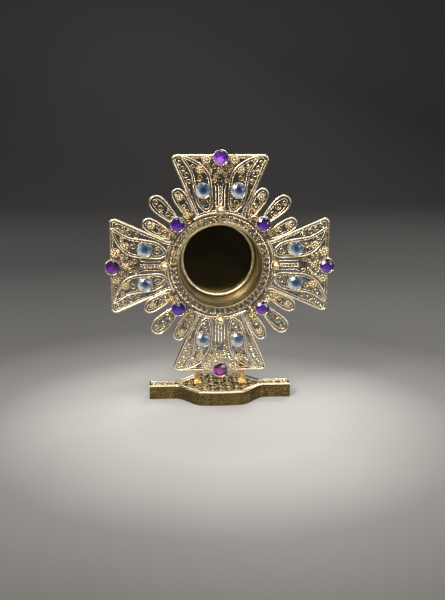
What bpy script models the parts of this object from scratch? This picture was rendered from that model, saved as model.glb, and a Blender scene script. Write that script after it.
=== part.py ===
"""A small table monstrance of gilt filigree.

A jewelled cross pattee stands on an ogee foot. At its centre an open drum holds a glazed capsule, the
theca, which slides out towards the front, and a hinged lid closes the drum at the back.

Lengths are in metres. +Z is up, the front faces -Y, and the origin is the centre of the foot's underside.
"""

import math

import bmesh
import bpy
from mathutils import Matrix, Vector

MM = 0.001

# The whole object
TOTAL_HEIGHT = 88.9 * MM  # from the table to the upper arm's outer edge, 3.5 in
ARM_REACH = 39.4 * MM  # from the drum's axis to an arm's outer edge
AXIS_HEIGHT = TOTAL_HEIGHT - ARM_REACH
CROSS_Y = -1.3 * MM  # the cross stands a little in front of the foot's middle
GAP = 0.3 * MM  # left between pieces that the real maker solders or seats
EMBED = 0.05 * MM  # how far shapes run into each other where they are joined into one piece
SHARP_ANGLE = math.radians(35)  # a turned piece is shaded smooth across gentler bends than this
MITRE_LIMIT = 0.35

# Drum, from its front rim back. Distances called "front" count forwards from the cross's mid-plane.
DRUM_RADIUS = 15.0 * MM
DRUM_WALL = 0.6 * MM
DRUM_RIM_RADIUS = 15.3 * MM
DRUM_RIM_DEPTH = 0.7 * MM
DRUM_RIM_STEP = 0.2 * MM
DRUM_RIM_CHAMFER = (0.3 * MM, 0.15 * MM)  # across the rim's face, and along its side
DRUM_FRONT = 2.5 * MM
DRUM_BACK = -19.0 * MM
DRUM_STEPS = 48

# Pierced band round the drum
HALO_INNER = 15.6 * MM
HALO_OUTER = 18.1 * MM
HALO_WIRE = 0.5 * MM
HALO_THICKNESS = 1.0 * MM
HALO_CELLS = 16
HALO_STRUT_ANGLE = math.radians(4.5)

# Theca
THECA_RADIUS = 14.15 * MM
THECA_OPENING = 12.4 * MM
THECA_FRONT = -13.3 * MM
BEZEL_RING_DEPTH = 1.1 * MM
BEZEL_OUTER_CHAMFER = (0.5 * MM, 0.4 * MM)
BEZEL_INNER_CHAMFER = (0.6 * MM, 0.5 * MM)
CASE_RADIUS = 13.9 * MM
CASE_WALL = 0.6 * MM
CASE_CHAMFER = 0.3 * MM
THECA_BACK = -18.7 * MM
PANE_RADIUS = 13.0 * MM
PANE_THICKNESS = 1.0 * MM
BACKING_THICKNESS = 0.5 * MM
BACKING_DEPTH = 1.4 * MM  # behind the pane

# Rear lid and its hinge
LID_RADIUS = 15.0 * MM
LID_THICKNESS = 0.8 * MM
LID_BOSS_RADIUS = 11.5 * MM
LID_BOSS_HEIGHT = 0.35 * MM
LID_BOSS_SLOPE = 0.5 * MM
LID_CHAMFER = 0.2 * MM
SPIGOT_OUTER = 14.05 * MM
SPIGOT_INNER = 13.4 * MM
SPIGOT_HEIGHT = 0.4 * MM
HINGE_X = 16.25 * MM
HINGE_FRONT = DRUM_BACK - 0.2 * MM
KNUCKLE_RADIUS = 1.1 * MM
PIN_HOLE_RADIUS = 0.5 * MM
PIN_RADIUS = 0.42 * MM
PIN_HEAD_RADIUS = 0.75 * MM
PIN_HEAD_HEIGHT = 0.4 * MM
PIN_HEAD_RIM = 0.1 * MM  # the straight part of a head's side
PIN_HEAD_TOP_RATIO = 0.7
PIN_STEPS = 12
HINGE_HALF_LENGTH = 4.5 * MM
MIDDLE_KNUCKLE_HALF = 1.5 * MM
LEAF_X = 15.25 * MM
LEAF_THICKNESS = 0.6 * MM
LEAF_LENGTH = 6.0 * MM
LUG_OVERLAP = 0.4 * MM
TAB_HALF_WIDTH = 2.2 * MM
TAB_REACH = 17.2 * MM
TAB_OVERLAP = 1.0 * MM  # the thumb tab and the tongue start this far inside the lid's edge

# Arms of the cross
ARM_INNER_RADIUS = 18.5 * MM
ARM_ROOT_HALF = 9.0 * MM
ARM_FLARE = 9.1 * MM
ARM_CORNER_RADIUS = 1.9 * MM
ARM_CORNER_STEPS = 5
ARM_ROOT_STEPS = 10
ARM_SIDE_STEPS = 7
FRAME_STRIP = 0.9 * MM
FRAME_THICKNESS = 1.4 * MM
LEAF_STRIP = 0.6 * MM
LEAF_DEPTH = 1.2 * MM
LEAF_CURVE_STEPS = 2
RIB_WIDTH = 0.5 * MM
RIB_DEPTH = 1.0 * MM
RIB_OFFSETS = (-1.1 * MM, 1.1 * MM)
TIE_HALF_LENGTH = 3.5 * MM  # of the bar that joins the two leaves between their stones
TIE_STEP = 0.1 * MM  # how far its faces lie below the ribs' faces

# Leaf of an arm, right-hand side: lateral and radial distances along a paisley-shaped loop
ARM_LEAF = [
    (2.9, 21.4), (3.0, 26.5), (3.5, 31.0), (5.2, 34.3), (8.4, 36.9), (12.3, 38.6), (13.6, 37.9),
    (11.6, 35.0), (10.2, 32.2), (9.6, 28.6), (9.0, 24.8), (7.7, 21.4), (4.8, 19.2),
]

# Sprays of petals between the arms
LONG_PETAL_TIP = 34.4 * MM
SIDE_PETAL_TIP = 31.6 * MM
PETAL_ROOT = 20.6 * MM
LONG_PETAL_HALF_WIDTH = 2.45 * MM
SIDE_PETAL_HALF_WIDTH = 2.15 * MM
PETAL_ROOT_HALF_WIDTH = 1.0 * MM
SIDE_PETAL_ANGLE = math.radians(14.5)
SPRAY_BAND_OUTER = 20.4 * MM
SPRAY_BAND_HALF_ANGLE = math.radians(13.5)
PETAL_STRIP = 0.6 * MM
PETAL_DEPTH = 1.0 * MM
PETAL_TIP_STEPS = 9
PETAL_ROOT_STEPS = 4
SPRAY_BAND_DEPTH = 0.9 * MM
SPRAY_BAND_STEPS = 8

# Stones in their cups, and the polished beads
STONE_RADIUS = 2.45 * MM
CUP_RADIUS = 2.8 * MM
CUP_WALL = 0.25 * MM
CUP_FLOOR = 0.25 * MM
CUP_BACK = 0.95 * MM
CUP_LIP = 0.15 * MM  # above the stone's girdle
STONE_STEPS = 12
GIRDLE_HEIGHT = 0.15 * MM
TABLE_RADIUS = 1.4 * MM
CULET_RADIUS = 1.1 * MM
CROWN_HEIGHT = 0.75 * MM
PAVILION_HEIGHT = 0.9 * MM
TIP_STONE_RADIUS_OUT = 38.3 * MM
TIP_STONE_FRONT = 3.4 * MM
DIAGONAL_STONE_RADIUS_OUT = 21.4 * MM
DIAGONAL_STONE_FRONT = 3.9 * MM
CLEAR_STONE_RADIAL = 26.9 * MM
CLEAR_STONE_LATERAL = 6.25 * MM
CLEAR_STONE_FRONT = 3.4 * MM
BEAD_RADIUS = 1.65 * MM
BEAD_RADIUS_OUT = 19.9 * MM
BEAD_FRONT = 3.8 * MM
BEAD_COLLAR_RADIUS = 1.45 * MM
BEAD_COLLAR_HEIGHT = 0.3 * MM
BEAD_STEPS = 14
BEAD_RINGS = 6

# Foot
FOOT_HALF_LENGTH = 26.1 * MM
FOOT_END_HALF_DEPTH = 3.1 * MM
FOOT_BULGE_HALF_DEPTH = 11.2 * MM
FOOT_BULGE_CROWN = 0.5 * MM
FOOT_BULGE_HALF_LENGTH = 7.0 * MM
FOOT_STRAIGHT_FROM = 16.5 * MM
FOOT_OGEE_STEPS = 9
FOOT_CROWN_FRACTIONS = (0.66, 0.33)
FOOT_HEIGHT = 5.15 * MM
SKIRT_HEIGHT = 4.3 * MM
SKIRT_WALL = 0.6 * MM
FLOOR_THICKNESS = 0.8 * MM
TOP_PANEL_Z = 4.25 * MM
TOP_PANEL_THICKNESS = 0.7 * MM
TOP_PANEL_INSET = 1.0 * MM  # from the skirt's outer face
TOP_PANEL_BORDER = 0.8 * MM
TOP_PANEL_BAR = 0.8 * MM
TOP_PANEL_BARS = (-22.0, -17.5, -13.0, -8.6, -4.3, 0.0, 4.3, 8.6, 13.0, 17.5, 22.0)  # along the foot
RIM_WIRE_RADIUS = 0.3 * MM

# Brackets from the foot to the lower arm
BRACKET_X = 8.2 * MM
BRACKET_WIDTH = 2.6 * MM
BRACKET_SHEET = 0.7 * MM
BRACKET_FOOT_FRONT = 2.6 * MM
BRACKET_TOP_Z = 13.4 * MM
BRACKET_BEND = 0.3 * MM

DRAWING_SCALE = 1000.0  # flat outlines are filled at millimetre size, then brought to metres
FACING = math.radians(90)  # turns a piece drawn lying on its back so that it faces -Y

ARM_ANGLES = {"top": 0, "right": 90, "bottom": 180, "left": 270}
SPRAY_ANGLES = {"upper_right": 45, "lower_right": 135, "lower_left": 225, "upper_left": 315}


def clear_scene():
    for obj in list(bpy.data.objects):
        bpy.data.objects.remove(obj, do_unlink=True)


def make_material(name, colour, roughness, metallic=0.0, transmission=0.0):
    material = bpy.data.materials.new(name)
    material.use_nodes = True
    shader = material.node_tree.nodes["Principled BSDF"]
    shader.inputs["Base Color"].default_value = (*colour, 1.0)
    shader.inputs["Roughness"].default_value = roughness
    shader.inputs["Metallic"].default_value = metallic
    shader.inputs["Transmission Weight"].default_value = transmission
    return material


def new_collection(name):
    collection = bpy.data.collections.new(name)
    bpy.context.scene.collection.children.link(collection)
    return collection


def place(name, mesh, material, matrix=None, parent=None):
    """A named piece. Repeated pieces share one mesh and differ by their matrix."""
    if not mesh.materials:
        mesh.materials.append(material)
    mesh.name = name
    piece = bpy.data.objects.new(name, mesh)
    PARTS.objects.link(piece)
    if parent is not None:
        piece.parent = parent
        piece.matrix_parent_inverse = parent.matrix_world.inverted()
    piece.matrix_world = matrix or Matrix.Identity(4)
    return piece


def joint_centre(name, position):
    """An empty on a joint's axis, which the moving pieces hang from."""
    empty = bpy.data.objects.new(name, None)
    PARTS.objects.link(empty)
    empty.location = position
    empty.empty_display_size = 5 * MM
    bpy.context.view_layer.update()
    return empty


def facing_front(angle=0.0, lateral=0.0, radial=0.0):
    """The place on the cross's face at an angle clockwise from the top, seen from the front."""
    turn = Matrix.Rotation(math.radians(angle), 4, "Y") @ Matrix.Rotation(FACING, 4, "X")
    centre = Matrix.Translation((0.0, CROSS_Y, AXIS_HEIGHT))
    return centre @ turn @ Matrix.Translation((lateral, radial, 0.0))


def moved(mesh, matrix):
    copy = mesh.copy()
    copy.transform(matrix)
    return copy


def mesh_from(bm):
    mesh = bpy.data.meshes.new("shape")
    bm.to_mesh(mesh)
    bm.free()
    return mesh


def evaluated_mesh(obj):
    """The mesh of a temporary object with its modifiers applied, and the object removed."""
    PARTS.objects.link(obj)
    bpy.context.view_layer.update()
    graph = bpy.context.evaluated_depsgraph_get()
    mesh = bpy.data.meshes.new_from_object(obj.evaluated_get(graph))
    bpy.data.objects.remove(obj, do_unlink=True)
    return mesh


def turned(profile, steps, smooth=True):
    """A profile of (radius, front) points, listed down its outer side, turned about the local Z axis."""
    bm = bmesh.new()
    points = [bm.verts.new((radius, 0.0, front)) for radius, front in profile]
    for start, end in zip(points, points[1:] + points[:1]):
        if start.co.x > 0.0 or end.co.x > 0.0:
            bm.edges.new((start, end))
    obj = bpy.data.objects.new("turned", mesh_from(bm))
    screw = obj.modifiers.new("Turn", "SCREW")
    screw.steps = steps
    screw.render_steps = steps
    screw.use_merge_vertices = True
    screw.merge_threshold = 1e-6
    screw.use_smooth_shade = smooth
    mesh = evaluated_mesh(obj)
    if smooth:
        mesh.set_sharp_from_angle(angle=SHARP_ANGLE)
    return mesh


def plate(loops, thickness, z=0.0):
    """A flat sheet in the local XY plane: the first loop is its outline and the others are holes."""
    curve = bpy.data.curves.new("outline", "CURVE")
    curve.dimensions = "2D"
    curve.fill_mode = "BOTH"
    curve.extrude = thickness * DRAWING_SCALE / 2
    for loop in loops:
        spline = curve.splines.new("POLY")
        spline.points.add(len(loop) - 1)
        for point, (x, y) in zip(spline.points, loop):
            point.co = (x * DRAWING_SCALE, y * DRAWING_SCALE, 0.0, 1.0)
        spline.use_cyclic_u = True
    mesh = evaluated_mesh(bpy.data.objects.new("outline", curve))
    bm = bmesh.new()
    bm.from_mesh(mesh)
    bmesh.ops.remove_doubles(bm, verts=bm.verts, dist=1e-4)
    bmesh.ops.scale(bm, vec=Vector.Fill(3, 1 / DRAWING_SCALE), verts=bm.verts)
    bmesh.ops.translate(bm, vec=(0.0, 0.0, z), verts=bm.verts)
    bmesh.ops.recalc_face_normals(bm, faces=bm.faces)
    return mesh_from(bm)


def block(low, high):
    """A box between two corners."""
    bm = bmesh.new()
    bmesh.ops.create_cube(bm, size=1.0)
    size = Vector(high) - Vector(low)
    bmesh.ops.scale(bm, vec=size, verts=bm.verts)
    bmesh.ops.translate(bm, vec=Vector(low) + size / 2, verts=bm.verts)
    return mesh_from(bm)


def upright_rod(radius, low, high, x, y, steps=16):
    """A cylinder parallel to the Z axis."""
    bm = bmesh.new()
    size = {"radius1": radius, "radius2": radius, "depth": high - low}
    bmesh.ops.create_cone(bm, cap_ends=True, segments=steps, **size)
    bmesh.ops.translate(bm, vec=(x, y, (low + high) / 2), verts=bm.verts)
    return mesh_from(bm)


def combined(mesh, others, operation="UNION"):
    """A mesh with others joined to it, or cut from it, one after another."""
    body = bpy.data.objects.new("body", mesh)
    tools = []
    for other in others:
        tool = bpy.data.objects.new("tool", other)
        tool.hide_render = True
        tool.display_type = "WIRE"
        CUTTERS.objects.link(tool)
        modifier = body.modifiers.new("Join", "BOOLEAN")
        modifier.operation = operation
        modifier.solver = "EXACT"
        modifier.object = tool
        tools.append(tool)
    result = evaluated_mesh(body)
    for tool in tools:
        bpy.data.objects.remove(tool, do_unlink=True)
    return result


def circle(radius, steps, x=0.0, y=0.0):
    turns = [2 * math.pi * i / steps for i in range(steps)]
    return [(x + radius * math.cos(a), y + radius * math.sin(a)) for a in turns]


def arc(radius, start, end, steps, x=0.0, y=0.0):
    """Points from one angle to another about (x, y), both ends included."""
    turns = [start + (end - start) * i / steps for i in range(steps + 1)]
    return [(x + radius * math.cos(a), y + radius * math.sin(a)) for a in turns]


def smooth_loop(points, steps):
    """A closed Catmull-Rom curve through the points."""
    loop = []
    count = len(points)
    for i in range(count):
        p0, p1, p2, p3 = (Vector(points[(i + k) % count]) for k in (-1, 0, 1, 2))
        for step in range(steps):
            t = step / steps
            bend = 2 * p0 - 5 * p1 + 4 * p2 - p3
            twist = 3 * p1 - p0 - 3 * p2 + p3
            loop.append(tuple((2 * p1 + (p2 - p0) * t + bend * t * t + twist * t**3) / 2))
    return loop


def inset(loop, distance):
    """The loop drawn inwards by a distance, with mitred corners."""
    area = sum(a[0] * b[1] - b[0] * a[1] for a, b in zip(loop, loop[1:] + loop[:1]))
    side = 1.0 if area > 0 else -1.0
    result = []
    for i, point in enumerate(loop):
        here = Vector(point)
        before = (here - Vector(loop[i - 1])).normalized()
        after = (Vector(loop[(i + 1) % len(loop)]) - here).normalized()
        normals = [Vector((-d.y, d.x)) * side for d in (before, after)]
        mitre = (normals[0] + normals[1]).normalized()
        reach = distance / max(mitre.dot(normals[0]), MITRE_LIMIT)
        result.append(tuple(here + mitre * reach))
    return result


def strip_loop(loop, width, thickness):
    """A closed strip of sheet that follows a loop on its inner side."""
    return plate([loop, inset(loop, width)], thickness)


def arm_half_width(radial):
    """Half the width of an arm at a distance from the drum's axis."""
    return ARM_ROOT_HALF + ARM_FLARE * (radial - ARM_INNER_RADIUS) / (ARM_REACH - ARM_INNER_RADIUS)


def arm_outline():
    """An arm of the cross, drawn pointing along +Y from the drum's axis."""
    half_angle = math.asin(ARM_ROOT_HALF / ARM_INNER_RADIUS)
    up = math.pi / 2
    root = arc(ARM_INNER_RADIUS, up + half_angle, up - half_angle, ARM_ROOT_STEPS)
    root_top = ARM_INNER_RADIUS * math.cos(half_angle)
    lean = math.atan(ARM_FLARE / (ARM_REACH - ARM_INNER_RADIUS))
    corner_y = ARM_REACH - ARM_CORNER_RADIUS
    corner_x = arm_half_width(corner_y) - ARM_CORNER_RADIUS / math.cos(lean)
    side = []
    for i in range(1, ARM_SIDE_STEPS):
        radial = root_top + (corner_y - root_top) * i / ARM_SIDE_STEPS
        side.append((arm_half_width(max(radial, ARM_INNER_RADIUS)), radial))
    corner = arc(ARM_CORNER_RADIUS, -lean, up, ARM_CORNER_STEPS, corner_x, corner_y)
    right = side + corner
    left = [(-x, y) for x, y in reversed(right)]
    return root + right + left


def arm_mesh():
    """The openwork of an arm: a frame, two leaf-shaped loops and two straight ribs, soldered into one."""
    frame = strip_loop(arm_outline(), FRAME_STRIP, FRAME_THICKNESS)
    leaf = smooth_loop([(x * MM, y * MM) for x, y in ARM_LEAF], LEAF_CURVE_STEPS)
    mirrored = [(-x, y) for x, y in leaf]
    additions = [strip_loop(loop, LEAF_STRIP, LEAF_DEPTH) for loop in (leaf, mirrored)]
    half = RIB_DEPTH / 2
    for x in RIB_OFFSETS:
        low = (x - RIB_WIDTH / 2, ARM_INNER_RADIUS + FRAME_STRIP / 3, -half)
        high = (x + RIB_WIDTH / 2, ARM_REACH - FRAME_STRIP / 3, half)
        additions.append(block(low, high))
    tie = (TIE_HALF_LENGTH, RIB_WIDTH / 2, half - TIE_STEP)
    centre = Vector((0.0, CLEAR_STONE_RADIAL, 0.0))
    additions.append(block(centre - Vector(tie), centre + Vector(tie)))
    return combined(frame, additions)


def petal_outline(tip_radius, tip_half_width, angle):
    """A long loop with a round tip and a narrower round root, at an angle from the local Y axis."""
    tip_centre = tip_radius - tip_half_width
    span = tip_centre - PETAL_ROOT
    lean = math.asin((tip_half_width - PETAL_ROOT_HALF_WIDTH) / span)
    tip = arc(tip_half_width, -lean, math.pi + lean, PETAL_TIP_STEPS, 0.0, tip_centre)
    root_ends = (math.pi + lean, 2 * math.pi - lean)
    root = arc(PETAL_ROOT_HALF_WIDTH, *root_ends, PETAL_ROOT_STEPS, 0.0, PETAL_ROOT)
    turn = Matrix.Rotation(angle, 2)
    return [tuple(turn @ Vector(point)) for point in tip + root]


def spray_mesh():
    """Three petal loops on the curved band that joins their roots, drawn along +Y."""
    up = math.pi / 2
    low, high = up - SPRAY_BAND_HALF_ANGLE, up + SPRAY_BAND_HALF_ANGLE
    inner = arc(ARM_INNER_RADIUS, low, high, SPRAY_BAND_STEPS)
    outer = arc(SPRAY_BAND_OUTER, high, low, SPRAY_BAND_STEPS)
    petals = [
        petal_outline(LONG_PETAL_TIP, LONG_PETAL_HALF_WIDTH, 0.0),
        petal_outline(SIDE_PETAL_TIP, SIDE_PETAL_HALF_WIDTH, SIDE_PETAL_ANGLE),
        petal_outline(SIDE_PETAL_TIP, SIDE_PETAL_HALF_WIDTH, -SIDE_PETAL_ANGLE),
    ]
    additions = [strip_loop(petal, PETAL_STRIP, PETAL_DEPTH) for petal in petals]
    return combined(plate([inner + outer], SPRAY_BAND_DEPTH), additions)


def halo_mesh():
    """The pierced band between the drum and the arms."""
    loops = [circle(HALO_OUTER, DRUM_STEPS), circle(HALO_INNER, DRUM_STEPS)]
    cell = 2 * math.pi / HALO_CELLS
    for i in range(HALO_CELLS):
        start = i * cell + HALO_STRUT_ANGLE / 2
        end = (i + 1) * cell - HALO_STRUT_ANGLE / 2
        inner = arc(HALO_INNER + HALO_WIRE, start, end, 3)
        outer = arc(HALO_OUTER - HALO_WIRE, end, start, 3)
        loops.append(inner + outer)
    return plate(loops, HALO_THICKNESS)


def drum_mesh():
    inner = DRUM_RADIUS - DRUM_WALL
    across, along = DRUM_RIM_CHAMFER
    return turned(
        [
            (DRUM_RIM_RADIUS, DRUM_FRONT - along),
            (DRUM_RIM_RADIUS, DRUM_FRONT - DRUM_RIM_DEPTH),
            (DRUM_RADIUS, DRUM_FRONT - DRUM_RIM_DEPTH - DRUM_RIM_STEP),
            (DRUM_RADIUS, DRUM_BACK),
            (inner, DRUM_BACK),
            (inner, DRUM_FRONT),
            (DRUM_RIM_RADIUS - across, DRUM_FRONT),
        ],
        DRUM_STEPS,
    )


def theca_bezel_mesh():
    back = THECA_FRONT - BEZEL_RING_DEPTH
    outer_across, outer_along = BEZEL_OUTER_CHAMFER
    inner_across, inner_along = BEZEL_INNER_CHAMFER
    return turned(
        [
            (THECA_RADIUS - outer_across, THECA_FRONT),
            (THECA_RADIUS, THECA_FRONT - outer_along),
            (THECA_RADIUS, back),
            (THECA_OPENING, back),
            (THECA_OPENING, THECA_FRONT - inner_along),
            (THECA_OPENING + inner_across, THECA_FRONT),
        ],
        DRUM_STEPS,
    )


def theca_case_mesh():
    front = THECA_FRONT - BEZEL_RING_DEPTH - GAP
    inner = CASE_RADIUS - CASE_WALL
    return turned(
        [
            (CASE_RADIUS, front),
            (CASE_RADIUS, THECA_BACK + CASE_CHAMFER),
            (CASE_RADIUS - CASE_CHAMFER, THECA_BACK),
            (0.0, THECA_BACK),
            (0.0, THECA_BACK + CASE_WALL),
            (inner, THECA_BACK + CASE_WALL),
            (inner, front),
        ],
        DRUM_STEPS,
    )


def disc_mesh(radius, front, thickness):
    return turned(
        [(0.0, front), (radius, front), (radius, front - thickness), (0.0, front - thickness)],
        DRUM_STEPS,
    )


def world_turned(profile, steps=DRUM_STEPS):
    """A turned piece on the drum's axis, in place."""
    return moved(turned(profile, steps), facing_front())


def hinge_y():
    return CROSS_Y - HINGE_FRONT


def hinge_leaf_mesh():
    """A flat leaf on the drum's side with two knuckles, bored for the pin."""
    back_y = CROSS_Y - DRUM_BACK
    clear_y = hinge_y() - KNUCKLE_RADIUS - GAP
    low, high = AXIS_HEIGHT - HINGE_HALF_LENGTH, AXIS_HEIGHT + HINGE_HALF_LENGTH
    leaf = block((LEAF_X, back_y - LEAF_LENGTH, low), (LEAF_X + LEAF_THICKNESS, clear_y, high))
    additions = []
    notch = MIDDLE_KNUCKLE_HALF + GAP / 2
    for start, end in ((low, AXIS_HEIGHT - notch), (AXIS_HEIGHT + notch, high)):
        lug_low = (LEAF_X + EMBED, clear_y - LUG_OVERLAP, start + EMBED)
        lug_high = (LEAF_X + LEAF_THICKNESS - EMBED, hinge_y(), end - EMBED)
        additions.append(block(lug_low, lug_high))
        additions.append(upright_rod(KNUCKLE_RADIUS, start, end, HINGE_X, hinge_y()))
    solid = combined(leaf, additions)
    bore = upright_rod(PIN_HOLE_RADIUS, low - GAP, high + GAP, HINGE_X, hinge_y())
    return combined(solid, [bore], "DIFFERENCE")


def rear_lid_mesh():
    """A disc with a spigot, a raised boss, a thumb tab and the middle knuckle of the hinge."""
    inner_face = DRUM_BACK - GAP
    outer_face = inner_face - LID_THICKNESS
    disc = world_turned(
        [
            (0.0, inner_face),
            (SPIGOT_INNER, inner_face),
            (SPIGOT_INNER, inner_face + SPIGOT_HEIGHT),
            (SPIGOT_OUTER, inner_face + SPIGOT_HEIGHT),
            (SPIGOT_OUTER, inner_face),
            (LID_RADIUS, inner_face),
            (LID_RADIUS, outer_face + LID_CHAMFER),
            (LID_RADIUS - LID_CHAMFER, outer_face),
            (LID_BOSS_RADIUS, outer_face),
            (LID_BOSS_RADIUS - LID_BOSS_SLOPE, outer_face - LID_BOSS_HEIGHT),
            (0.0, outer_face - LID_BOSS_HEIGHT),
        ]
    )
    near_y = CROSS_Y - inner_face + EMBED
    far_y = CROSS_Y - outer_face - EMBED
    low = AXIS_HEIGHT - MIDDLE_KNUCKLE_HALF
    high = AXIS_HEIGHT + MIDDLE_KNUCKLE_HALF
    tongue = block((LID_RADIUS - TAB_OVERLAP, near_y, low + EMBED), (HINGE_X, far_y, high - EMBED))
    knuckle = upright_rod(KNUCKLE_RADIUS, low, high, HINGE_X, hinge_y())
    thumb_tab = block(
        (-TAB_REACH, near_y, AXIS_HEIGHT - TAB_HALF_WIDTH),
        (-LID_RADIUS + TAB_OVERLAP, far_y, AXIS_HEIGHT + TAB_HALF_WIDTH),
    )
    solid = combined(disc, [tongue, knuckle, thumb_tab])
    bore = upright_rod(PIN_HOLE_RADIUS, low - GAP, high + GAP, HINGE_X, hinge_y())
    return combined(solid, [bore], "DIFFERENCE")


def hinge_pin_mesh():
    """A straight pin with a small head at each end."""
    head = HINGE_HALF_LENGTH + GAP / 2
    tip = head + PIN_HEAD_HEIGHT
    top_radius = PIN_HEAD_RADIUS * PIN_HEAD_TOP_RATIO
    pin = turned(
        [
            (0.0, tip),
            (top_radius, tip),
            (PIN_HEAD_RADIUS, head + PIN_HEAD_RIM),
            (PIN_HEAD_RADIUS, head),
            (PIN_RADIUS, head),
            (PIN_RADIUS, -head),
            (PIN_HEAD_RADIUS, -head),
            (PIN_HEAD_RADIUS, -head - PIN_HEAD_RIM),
            (top_radius, -tip),
            (0.0, -tip),
        ],
        PIN_STEPS,
    )
    return moved(pin, Matrix.Translation((HINGE_X, hinge_y(), AXIS_HEIGHT)))


def cup_mesh(rim):
    """A plain cup for a stone, from its floor to a rim just above the stone's girdle."""
    inner = CUP_RADIUS - CUP_WALL
    return turned(
        [
            (CUP_RADIUS, rim),
            (CUP_RADIUS, CUP_BACK),
            (0.0, CUP_BACK),
            (0.0, CUP_BACK + CUP_FLOOR),
            (inner, CUP_BACK + CUP_FLOOR),
            (inner, rim),
        ],
        STONE_STEPS,
    )


def stone_mesh(table):
    """A round brilliant: a flat table, a sloping crown, a thin girdle and a cut-off pavilion."""
    girdle = table - CROWN_HEIGHT
    return turned(
        [
            (0.0, table),
            (TABLE_RADIUS, table),
            (STONE_RADIUS, girdle),
            (STONE_RADIUS, girdle - GIRDLE_HEIGHT),
            (CULET_RADIUS, girdle - PAVILION_HEIGHT),
            (0.0, girdle - PAVILION_HEIGHT),
        ],
        STONE_STEPS,
        smooth=False,
    )


def bead_mesh():
    """A polished bead on a low collar."""
    centre = BEAD_FRONT - BEAD_RADIUS
    collar_top = CUP_BACK + BEAD_COLLAR_HEIGHT
    start = math.acos((collar_top - centre) / BEAD_RADIUS)
    turns = [start * i / BEAD_RINGS for i in range(BEAD_RINGS + 1)]
    ball = [(BEAD_RADIUS * math.sin(a), centre + BEAD_RADIUS * math.cos(a)) for a in turns]
    collar = [(BEAD_COLLAR_RADIUS, collar_top - EMBED), (BEAD_COLLAR_RADIUS, CUP_BACK)]
    return turned(ball + collar + [(0.0, CUP_BACK)], BEAD_STEPS)


def foot_half_depth(x):
    """Half the depth of the foot: straight ends, an ogee, and a gently crowned bulge in the middle."""
    reach = abs(x)
    if reach >= FOOT_STRAIGHT_FROM:
        return FOOT_END_HALF_DEPTH
    if reach <= FOOT_BULGE_HALF_LENGTH:
        return FOOT_BULGE_HALF_DEPTH + FOOT_BULGE_CROWN * (1 - (reach / FOOT_BULGE_HALF_LENGTH) ** 2)
    t = (FOOT_STRAIGHT_FROM - reach) / (FOOT_STRAIGHT_FROM - FOOT_BULGE_HALF_LENGTH)
    ease = t * t * (3 - 2 * t)
    return FOOT_END_HALF_DEPTH + (FOOT_BULGE_HALF_DEPTH - FOOT_END_HALF_DEPTH) * ease


def foot_outline():
    """The foot's plan, anticlockwise from its front left corner."""
    reaches = [FOOT_HALF_LENGTH]
    ogee = FOOT_BULGE_HALF_LENGTH - FOOT_STRAIGHT_FROM
    for i in range(FOOT_OGEE_STEPS + 1):
        reaches.append(FOOT_STRAIGHT_FROM + ogee * i / FOOT_OGEE_STEPS)
    reaches += [FOOT_BULGE_HALF_LENGTH * fraction for fraction in FOOT_CROWN_FRACTIONS]
    xs = [-r for r in reaches] + [0.0] + list(reversed(reaches))
    front = [(x, -foot_half_depth(x)) for x in xs]
    back = [(x, foot_half_depth(x)) for x in reversed(xs)]
    return front + back


def opening_half_depth(x):
    """Half the depth of the top panel's openings, so that its border keeps one width round the ogee."""
    step = 0.1 * MM
    slope = (foot_half_depth(x + step) - foot_half_depth(x - step)) / (2 * step)
    return foot_half_depth(x) - (TOP_PANEL_INSET + TOP_PANEL_BORDER) * math.hypot(1.0, slope)


def foot_top_mesh(outline):
    """The pierced panel on top of the foot: a border, with openings between cross bars."""
    loops = [inset(outline, TOP_PANEL_INSET)]
    half = TOP_PANEL_BAR / 2
    for left, right in zip(TOP_PANEL_BARS, TOP_PANEL_BARS[1:]):
        start, end = left * MM + half, right * MM - half
        xs = [start + (end - start) * i / 3 for i in range(4)]
        depth = [opening_half_depth(x) for x in xs]
        for side in (-1, 1):
            inner = [(x, side * TOP_PANEL_BAR / 2) for x in xs]
            outer = [(x, side * d) for x, d in zip(reversed(xs), reversed(depth))]
            loops.append(inner + outer)
    return plate(loops, TOP_PANEL_THICKNESS, TOP_PANEL_Z + TOP_PANEL_THICKNESS / 2)


def bracket_mesh():
    """A bent strap, drawn in side view: a foot on the panel, an upright, and a tongue behind the arm."""
    foot_z = TOP_PANEL_Z + TOP_PANEL_THICKNESS + GAP
    behind_arm = CROSS_Y + FRAME_THICKNESS / 2 + GAP
    upright = behind_arm + BRACKET_SHEET
    outline = [
        (behind_arm - BRACKET_FOOT_FRONT, foot_z),
        (upright - BRACKET_BEND, foot_z),
        (upright, foot_z + BRACKET_BEND),
        (upright, BRACKET_TOP_Z),
        (behind_arm, BRACKET_TOP_Z),
        (behind_arm, foot_z + BRACKET_SHEET),
        (behind_arm - BRACKET_FOOT_FRONT, foot_z + BRACKET_SHEET),
    ]
    turn = Matrix.Rotation(math.radians(90), 4, "Z") @ Matrix.Rotation(math.radians(90), 4, "X")
    return moved(plate([outline], BRACKET_WIDTH), turn)


def rim_wire_mesh(loop):
    """A square wire that lies along the skirt's top edge."""
    outer = inset(loop, -RIM_WIRE_RADIUS)
    inner = inset(loop, RIM_WIRE_RADIUS)
    return plate([outer, inner], RIM_WIRE_RADIUS * 2, FOOT_HEIGHT - RIM_WIRE_RADIUS)


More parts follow.
